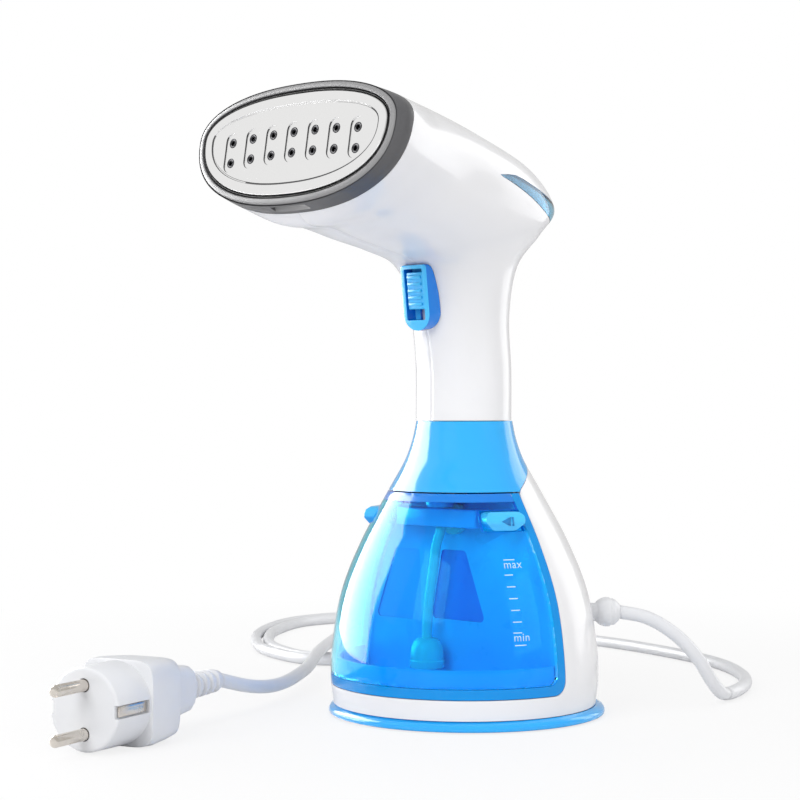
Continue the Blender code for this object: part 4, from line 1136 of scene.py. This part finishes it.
def make_steam_plate():
    """The plate, stepped down inside an oval line, with a dimple round each pair of holes."""
    step = [(4.3, -2.4), (4.3, -0.7), (4.42, -0.3), (4.7, -0.06), (5.2, 0.0), (8.3, 0.0), (8.5, -0.04)]
    step += [(8.62, -0.2), (8.68, -0.58), (9.1, -0.62), (9.3, -0.45), (14, -0.45), (20, -0.45)]
    made = loft("fine_steam_plate", [full_ring(FACE, inset, lift) for inset, lift in step])
    middle = (HOLE_COLUMNS - 1) / 2
    for column in range(HOLE_COLUMNS):
        x = (column - middle) * HOLE_PITCH
        up = -HOLE_DROP + HOLE_ARCH * (1 - ((column - middle) / middle) ** 2)
        sizes = [(3.6, 8.5, -0.6), (3.45, 8.35, 0.42), (3.38, 8.28, 0.85), (3.0, 7.9, 0.95), (2.6, 7.4, 1.0)]
        dimple = loft(f"dimple_{column}", [obround_ring(x, up, *size) for size in sizes])
        combine(made, "DIFFERENCE", dimple)
    for i, (x, up) in enumerate(hole_places()):
        drill = turned(f"drill_{i}", [(0, -6), (1.0, -6), (1.0, 6), (0, 6)], 32)
        combine(made, "DIFFERENCE", place(drill, on_face(x, up, 0), FACE_ROTATION))
    made = stand_in(settled(made, angle=24), "polished_steel", "steam_plate")
    # The steps that look away from the light and the lower left of the oval groove take dark steel as
    # painted shade.
    paint(made, "shaded_steel", shaded_step)
    paint(made, "shaded_steel", on_oval_line)
    make_eyelets()


def plate_reach(face, inset):
    """Below 1 where a face lies inside the plate's outline moved in by inset."""
    low, high, width, power, share = head_section(FACE)
    length = (high - low).length
    up = (Vector((face.center.y, face.center.z)) / MM - low).dot((high - low) / length) - length * share
    tall = length * (1 - share) if up > 0 else length * share
    return (abs(face.center.x / MM) / (width - inset)) ** power + (abs(up) / (tall - inset)) ** power


def shaded_step(face):
    """Whether a face is a pressed step that looks away from the light, to the user's left or upwards."""
    ahead = Vector((0, -math.cos(FACE_TILT), math.sin(FACE_TILT)))
    away = Vector((0.8, 0, 0.6))
    return plate_reach(face, 7) < 1 and 0.05 < face.normal.dot(ahead) < 0.75 and face.normal.dot(away) > 0.3


def on_oval_line(face):
    """Whether a face is in the lower left half of the groove round the stepped middle of the plate, which is
    painted dark steel as a line of shade.
    """
    lower_left = face.center.x > -25 * MM and face.center.z < 250 * MM
    return lower_left and plate_reach(face, OVAL_START) < 1 < plate_reach(face, OVAL_END)


def make_eyelets():
    """The pressed rims and bores of the steam holes, in near-black steel that is painted shade for the
    holes.
    """
    bm = bmesh.new()
    profile = [(0.8, -0.3), (1.0, 0.2), (1.15, 0.3), (1.3, 0.2), (1.42, 0.0), (1.6, 0.25), (1.8, 0.3)]
    profile += [(2.0, 0.2), (2.1, -0.1), (0.98, -0.6), (0.98, -2.4), (0.8, -2.4)]
    turns = 36
    for x, up in hole_places():
        rows = []
        for radius, height in profile:
            ring = []
            for i in range(turns):
                angle = 2 * math.pi * i / turns
                across, along = radius * math.cos(angle), radius * math.sin(angle)
                ring.append(bm.verts.new(Vector(on_face(x + across, up + along, 1.08 - height)) * MM))
            rows.append(ring)
        join_rings(bm, rows, True)
    coat(from_bmesh("steam_hole_rims", bm), "hole_steel", BODY_OF["steam_plate"])


# ---------------------------------------------------------------- switch


def make_switch():
    half, top, bottom = SWITCH_W / 2, SWITCH_H / 2, -SWITCH_H / 2
    below = half - 0.05
    corners = [(-half, top, 1.8), (-half, bottom, below), (half, bottom, below), (half, top, 1.8)]
    bezel = plate("fine_switch_bezel", rounded(corners, 16), 16, 0.6, on_switch(0, 8), SWITCH_ROTATION)
    head = loft("switch_head", [full_ring(1 + 4 * i / 30, -GAP, count=96) for i in range(31)])
    combine(bezel, "DIFFERENCE", head)
    size = (WINDOW_W + 2, WINDOW_H + 2, WELL_DEPTH + 0.8)
    combine(bezel, "UNION", switch_block("switch_tub", size, WINDOW_UP, WELL_DEPTH / 2 + 0.9))
    size = (WINDOW_W, WINDOW_H, 2 * WELL_DEPTH)
    combine(bezel, "DIFFERENCE", switch_block("switch_well", size, WINDOW_UP, 0, 0.5))
    combine(bezel, "DIFFERENCE", place(block("bezel_stem_slot", (5, 30, 18)), (0, -20, 180.5)))
    bezel = stand_in(settled(bezel, bevel=0.15), "cyan_plastic", "switch_bezel")
    outward = Vector((0, -math.cos(SWITCH_LEAN), -math.sin(SWITCH_LEAN)))
    # The faces that do not face out, the walls of the slider's well and the bezel's sides, take deep blue as
    # painted shade.
    paint(bezel, "deep_plastic", lambda face: face.normal.dot(outward) < 0.45)

    thumb = switch_block("fine_steam_slider", (SLIDER_W, SLIDER_H, 4.4), SLIDER_UP, 2.9, 0.7)
    for i in range(5):
        up = SLIDER_UP + RIB_PITCH * (i - 2)
        rib = switch_block(f"slider_rib_{i}", (SLIDER_W - 2.0, 1.3, 1.6), up, 0.6, 0.35)
        combine(thumb, "UNION", rib)
    combine(thumb, "UNION", place(block("slider_stem", (4, 13, 8), 0.4), (0, -21.8, 182.5)))
    stand_in(settled(thumb), "cyan_plastic", "steam_slider")


# ---------------------------------------------------------------- cord, plug and adapter


def view_point(across, along, height):
    """A place on the floor behind the body, across and along the coil of cord."""
    cos, sin = math.cos(VIEW_TURN), math.sin(VIEW_TURN)
    return COIL_CENTRE[0] + across * cos - along * sin, COIL_CENTRE[1] + across * sin + along * cos, height


def cord_points():
    """From the ball down to the floor, round behind the body, through the coil and over it to the plug."""
    floor = CORD_R + 0.4
    x, y, z = BALL_CENTRE
    drop = [(x + 5.4, y + 5.0, z), (54, 61, 40.5), (63, 70, 33), (69, 79, 22), (70.5, 88, 11), LEAD_END]
    run = [(68, 106), (65.5, 116), (58, 134), (20, 178), (-60, 213), (-160, 222)]
    points = drop + [(across, along, floor) for across, along in run]
    turns, steps = 1.8, 20
    for i in range(steps + 1):
        angle = math.radians(60 + 360 * turns * i / steps)
        shrink = COIL_STEP * turns * i / steps
        across = (COIL_ACROSS - shrink) * math.cos(angle)
        along = (COIL_ALONG - shrink) * math.sin(angle)
        points.append(view_point(across, along, floor))
    over = floor + 2 * CORD_R + 0.5
    points += [view_point(26, 10, floor + 1), view_point(12, 4, floor + 3), view_point(2, -24, floor + 5)]
    points += [view_point(-5, -72, over), view_point(-10, -114, over), view_point(-15, -165, floor + 4)]
    return points + [along_plug(132, 1, PLUG_Z - 5), along_plug(112.5, 0, PLUG_Z)]


def along_plug(distance, side, height):
    cos, sin = math.cos(PLUG_TURN), math.sin(PLUG_TURN)
    return PLUG_START[0] - distance * sin + side * cos, PLUG_START[1] + distance * cos + side * sin, height


def plug_solid(name, stations, count=64):
    """A body along the plug's line from (distance, half width, half height, squareness) stations."""
    rings = []
    for distance, wide, tall, power in stations:
        ring = []
        for i in range(count):
            side, up = superellipse(wide, tall, power, 2 * math.pi * i / count)
            ring.append(along_plug(distance, side, PLUG_Z + up))
        rings.append(ring)
    return loft(name, rings)


def plug_bore(name, radius, start, end, height=PLUG_Z):
    bore = turned(name, [(0, end), (radius, end), (radius, start), (0, start)], 40)
    return place(bore, along_plug(0, 0, height), (math.radians(-90), 0, PLUG_TURN))


def plug_block(name, size, distance, side, height=PLUG_Z, bevel=0.0):
    """A block lined up with the plug."""
    return place(block(name, size, bevel), along_plug(distance, side, height), (0, 0, PLUG_TURN))


def make_plug():
    stations = [(68, 8.2, 12.2, 6), (68.25, 8.8, 12.8, 6), (68.7, 9, 13, 6), (70.4, 9, 13, 6)]
    stations += [(70.9, 8.8, 12.8, 6), (71.05, 8.2, 12.0, 6), (71.2, 7.5, 10.8, 5), (71.6, 7.35, 10.55, 5)]
    stations += [(78, 7.2, 10.2, 4.5), (84, 7.0, 9.6, 4), (86.5, 6.5, 8.4, 3.4), (88.4, 5.6, 6.5, 3)]
    stations += [(89.8, 4.7, 5.3, 2.5), (91, 4.5, 4.8, 2.2)]
    for i in range(4):
        start, outer = 91 + 5 * i, 5.6 - 0.2 * i
        ridge = [(0.25, outer - 0.3, 2.4), (0.6, outer, 2.4), (2.0, outer - 0.1, 2.4)]
        ridge += [(2.4, outer - 0.45, 2.2), (2.6, 4.3, 2), (4.9, 4.2, 2)]
        stations += [(start + step, radius, radius, power) for step, radius, power in ridge]
    stations += [(111.2, 4.0, 4.0, 2), (111.5, 3.7, 3.7, 2)]
    body = plug_solid("fine_plug_body", stations)
    combine(body, "DIFFERENCE", plug_bore("cord_entry", 3.2, 104.5, 120))
    for side in (1, -1):
        panel = plug_block(f"plug_panel_{side}", (2, 9.5, 14), 78.5, side * 8.0, bevel=0.6)
        combine(body, "DIFFERENCE", panel)
    for side, name in ((1, "plug_blade_upper"), (-1, "plug_blade_lower")):
        height = PLUG_Z + side * BLADE_PITCH / 2
        blade = plug_block(f"fine_{name}", (6.3, 22, 1.5), 63, 0, height, 0.35)
        stand_in(settled(blade), "nickel", name)
        combine(body, "DIFFERENCE", plug_block(f"{name}_seat", (6.9, 9, 2.1), 69.8, 0, height))
    stand_in(settled(body, angle=34), "cord_plastic", "plug_body")


def make_adapter():
    sections = [(18.9, 14.6, 2), (19.0, 15.6, 2), (19.3, 16.2, 2), (20, 16.6, 2), (39.6, 16.8, 2)]
    sections += [(39.9, 16.75, 2), (40.1, 16.6, 2.6), (40.35, 16.9, 4), (40.7, 17.2, 5.4), (45, 17.3, 6)]
    sections += [(54, 16.6, 6), (61, 15.9, 5.5), (61.7, 15.6, 5.2), (62, 15.0, 5)]
    stations = [(distance, radius, radius, power) for distance, radius, power in sections]
    adapter = plug_solid("fine_adapter_body", stations, 96)
    for side, name in ((1, "upper"), (-1, "lower")):
        height = PLUG_Z + side * PIN_PITCH / 2
        profile = [(0, 24), (2.4, 24), (2.4, 0.9), (2.25, 0.45), (1.9, 0.12), (1.4, 0), (0, 0)]
        pin = turned(f"fine_adapter_pin_{name}", profile, 48)
        place(pin, along_plug(0, 0, height), (math.radians(-90), 0, PLUG_TURN))
        stand_in(settled(pin, angle=40), "nickel", f"adapter_pin_{name}")
        combine(adapter, "DIFFERENCE", plug_bore(f"pin_bore_{name}", 2.7, 10, 24.5, height))
        height = PLUG_Z + side * BLADE_PITCH / 2
        slot = plug_block(f"blade_slot_{name}", (7.2, 20, 2.2), 56, 0, height, 0.3)
        combine(adapter, "DIFFERENCE", slot)
    for side, name in ((1, "right"), (-1, "left")):
        groove = plug_block(f"clip_groove_{name}", (4, 26, 5.2), 26, side * 16.6)
        combine(adapter, "DIFFERENCE", groove)
        clip = plug_block(f"fine_earth_clip_{name}", (0.8, 18, 4.2), 29.4, side * 15.2, bevel=0.3)
        stand_in(settled(clip), "nickel", f"earth_clip_{name}")
    stand_in(settled(adapter, angle=34), "cord_plastic", "adapter_body")


def make_cord():
    profile = [(0, BALL_R)]
    stem_angle = math.asin(4.0 / BALL_R)
    steps = 28
    for i in range(1, steps + 1):
        angle = (math.pi - stem_angle) * i / steps
        groove = 0.35 if i in (steps // 2, steps // 2 + 1) else 0.0
        profile.append(((BALL_R - groove) * math.sin(angle), (BALL_R - groove) * math.cos(angle)))
    profile += [(4.0, -11.8), (5.4, -11.8), (5.4, -13.2), (0, -13.2)]
    ball = turned("fine_cord_ball", profile, 72)
    stand_in(settled(place(ball, BALL_CENTRE, BALL_ROTATION), angle=60), "cord_plastic", "cord_ball")

    path = cord_points()
    path[0] = (BALL_CENTRE[0] + 3.4, BALL_CENTRE[1] + 3.9, BALL_CENTRE[2])
    points = sampled(path, 620)
    floor_start = next(i for i, point in enumerate(points) if point[1] > LEAD_END[1] + 5)
    lead = wire("fine_cord_lead", points[: floor_start + 1], CORD_R, 6)
    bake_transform(finished(lead, "cord_plastic", "cord"))
    stand_in(wire("fine_cord", points[floor_start:], CORD_R, 6), "cord_plastic", "cord")


# ---------------------------------------------------------------- CAD nodes that stay


KEPT = {
    "bare_steel": ["heating_element", "thermostat", "thermal_fuse", "pump_piston"]
    + ["base_screw_1", "base_screw_2", "base_screw_3", "housing_screw_1", "housing_screw_2"],
    "cast_aluminium": ["diffuser_tray", "boiler_body", "boiler_cover", "pump_bracket"],
    "circuit_board": ["led_board", "control_board"],
    "grey_plastic": ["microswitch"],
    "copper": ["microswitch_plunger", "pump_coil"],
    "soft_white_plastic": ["pump_body", "docking_nozzle"],
    "white_plastic": ["chassis"],
    "silicone": ["feed_hose", "suction_hose"],
}


def repaint_kept_nodes():
    for make, names in KEPT.items():
        for name in names:
            node = frame["nodes"][name]
            for holder in node.material_slots:
                holder.material = finish(make)


# ---------------------------------------------------------------- stage


def make_floor():
    """A wide pale disc that fades to plain white with distance, so that no horizon shows."""
    floor = turned("floor", [(0, -0.05), (600, -0.05), (2400, -0.05), (9000, -0.05)], 96)
    look = Finish("floor", (0.84, 0.84, 0.85), 0.6)
    look.tint(3, (0.82, 0.82, 0.83), 0.5)
    reach = look.node("ShaderNodeVectorMath", set_operation="LENGTH")
    look.link(look.position(), reach.inputs[0])
    far = look.ramp(reach.outputs["Value"], 0.78, 1.0, 0.12, 0.5)
    path = look.node("ShaderNodeLightPath")
    seen = look.node("ShaderNodeMath", set_operation="MULTIPLY")
    look.link(far, seen.inputs[0])
    look.link(path.outputs["Is Camera Ray"], seen.inputs[1])
    glow = look.node("ShaderNodeEmission", Color=(1, 1, 1, 1), Strength=1.0)
    look.show_mixed(seen.outputs[0], glow.outputs["Emission"])
    floor.data.materials.append(look.material)


def softbox(name, turn, distance, height, size, glow, light=True, show=True):
    """A rectangular lamp facing the steamer that lights it, shows in its reflections or both."""
    data = bpy.data.lights.new(name, "AREA")
    data.shape = "RECTANGLE"
    data.size, data.size_y = size
    data.energy = math.pi * size[0] * size[1] * glow
    lamp = link(name, data)
    direction = VIEW_TURN + math.radians(turn)
    ahead = Vector((math.sin(direction), -math.cos(direction), 0))
    lamp.location = ahead * distance + Vector((0, 0, height))
    target = Vector((0, 0, 0.13))
    lamp.rotation_euler = (lamp.location - target).to_track_quat("Z", "Y").to_euler()
    lamp.visible_camera = False
    lamp.visible_diffuse = light
    lamp.visible_glossy = show
    return lamp


def keep_off_plate(lamps):
    """The side boxes would burn out the mirror-like steam plate, so they leave it alone."""
    spared = bpy.data.collections.new("spared")
    spared.objects.link(bpy.data.objects["fine_steam_plate"])
    spared.collection_objects[0].light_linking.link_state = "EXCLUDE"
    for lamp in lamps:
        lamp.light_linking.receiver_collection = spared


def make_lights():
    """Soft diffuse boxes in front and above, and side boxes that only show as reflections."""
    softbox("key_box", -35, 1.6, 0.9, (0.9, 0.9), 5.2, show=False)
    softbox("fill_box", 55, 1.7, 0.6, (0.9, 0.9), 2.6, show=False)
    softbox("top_box", 10, 0.3, 1.5, (1.2, 1.2), 1.2, show=False)
    boxes = [softbox("left_shine", -118, 0.95, 0.34, (1.0, 0.9), 8.5, light=False)]
    boxes.append(softbox("right_shine", 122, 0.95, 0.30, (0.5, 0.9), 1.8, light=False))
    softbox("plate_shine", -84, 1.0, 0.62, (0.8, 0.8), 0.32, light=False)
    keep_off_plate(boxes)
    world = bpy.data.worlds.new("studio")
    bpy.context.scene.world = world
    world.use_nodes = True
    nodes, links = world.node_tree.nodes, world.node_tree.links
    path = nodes.new("ShaderNodeLightPath")
    seen, lit = nodes["Background"], nodes.new("ShaderNodeBackground")
    seen.inputs["Color"].default_value = (1, 1, 1, 1)
    lit.inputs["Color"].default_value = (0.83, 0.825, 0.815, 1)
    lit.inputs["Strength"].default_value = 0.72
    mixed = nodes.new("ShaderNodeMixShader")
    links.new(path.outputs["Is Camera Ray"], mixed.inputs["Fac"])
    links.new(lit.outputs["Background"], mixed.inputs[1])
    links.new(seen.outputs["Background"], mixed.inputs[2])
    links.new(mixed.outputs["Shader"], nodes["World Output"].inputs["Surface"])


def make_camera():
    data = bpy.data.cameras.new("camera")
    data.lens = CAMERA_LENS
    data.sensor_width = CAMERA_SENSOR
    camera = link("camera", data)
    place(camera, CAMERA_AT, (math.radians(90), 0, VIEW_TURN))
    bpy.context.scene.camera = camera
    bpy.context.scene.view_settings.view_transform = "Standard"


# ---------------------------------------------------------------- assembly


def build():
    make_collar()
    make_rear_shell()
    make_base()
    make_tank_shell()
    make_tank_frame()
    make_tank_inside()
    for side, hand in ((1, "left"), (-1, "right")):
        make_button(side, f"release_button_{hand}")
        make_button_spring(side, f"button_spring_{hand}")
        make_housing(side, f"housing_{hand}")
    make_pump_spring()
    make_level_marks()
    make_lens()
    make_bezel()
    make_steam_plate()
    make_switch()
    make_plug()
    make_adapter()
    make_cord()
    repaint_kept_nodes()
    make_floor()
    make_lights()
    make_camera()


def remove_cutters():
    """Every Boolean is applied by now, so the hidden shapes that made them can go."""
    for obj in list(bpy.context.scene.objects):
        if obj.display_type == "WIRE":
            bpy.data.objects.remove(obj, do_unlink=True)


build()
remove_cutters()
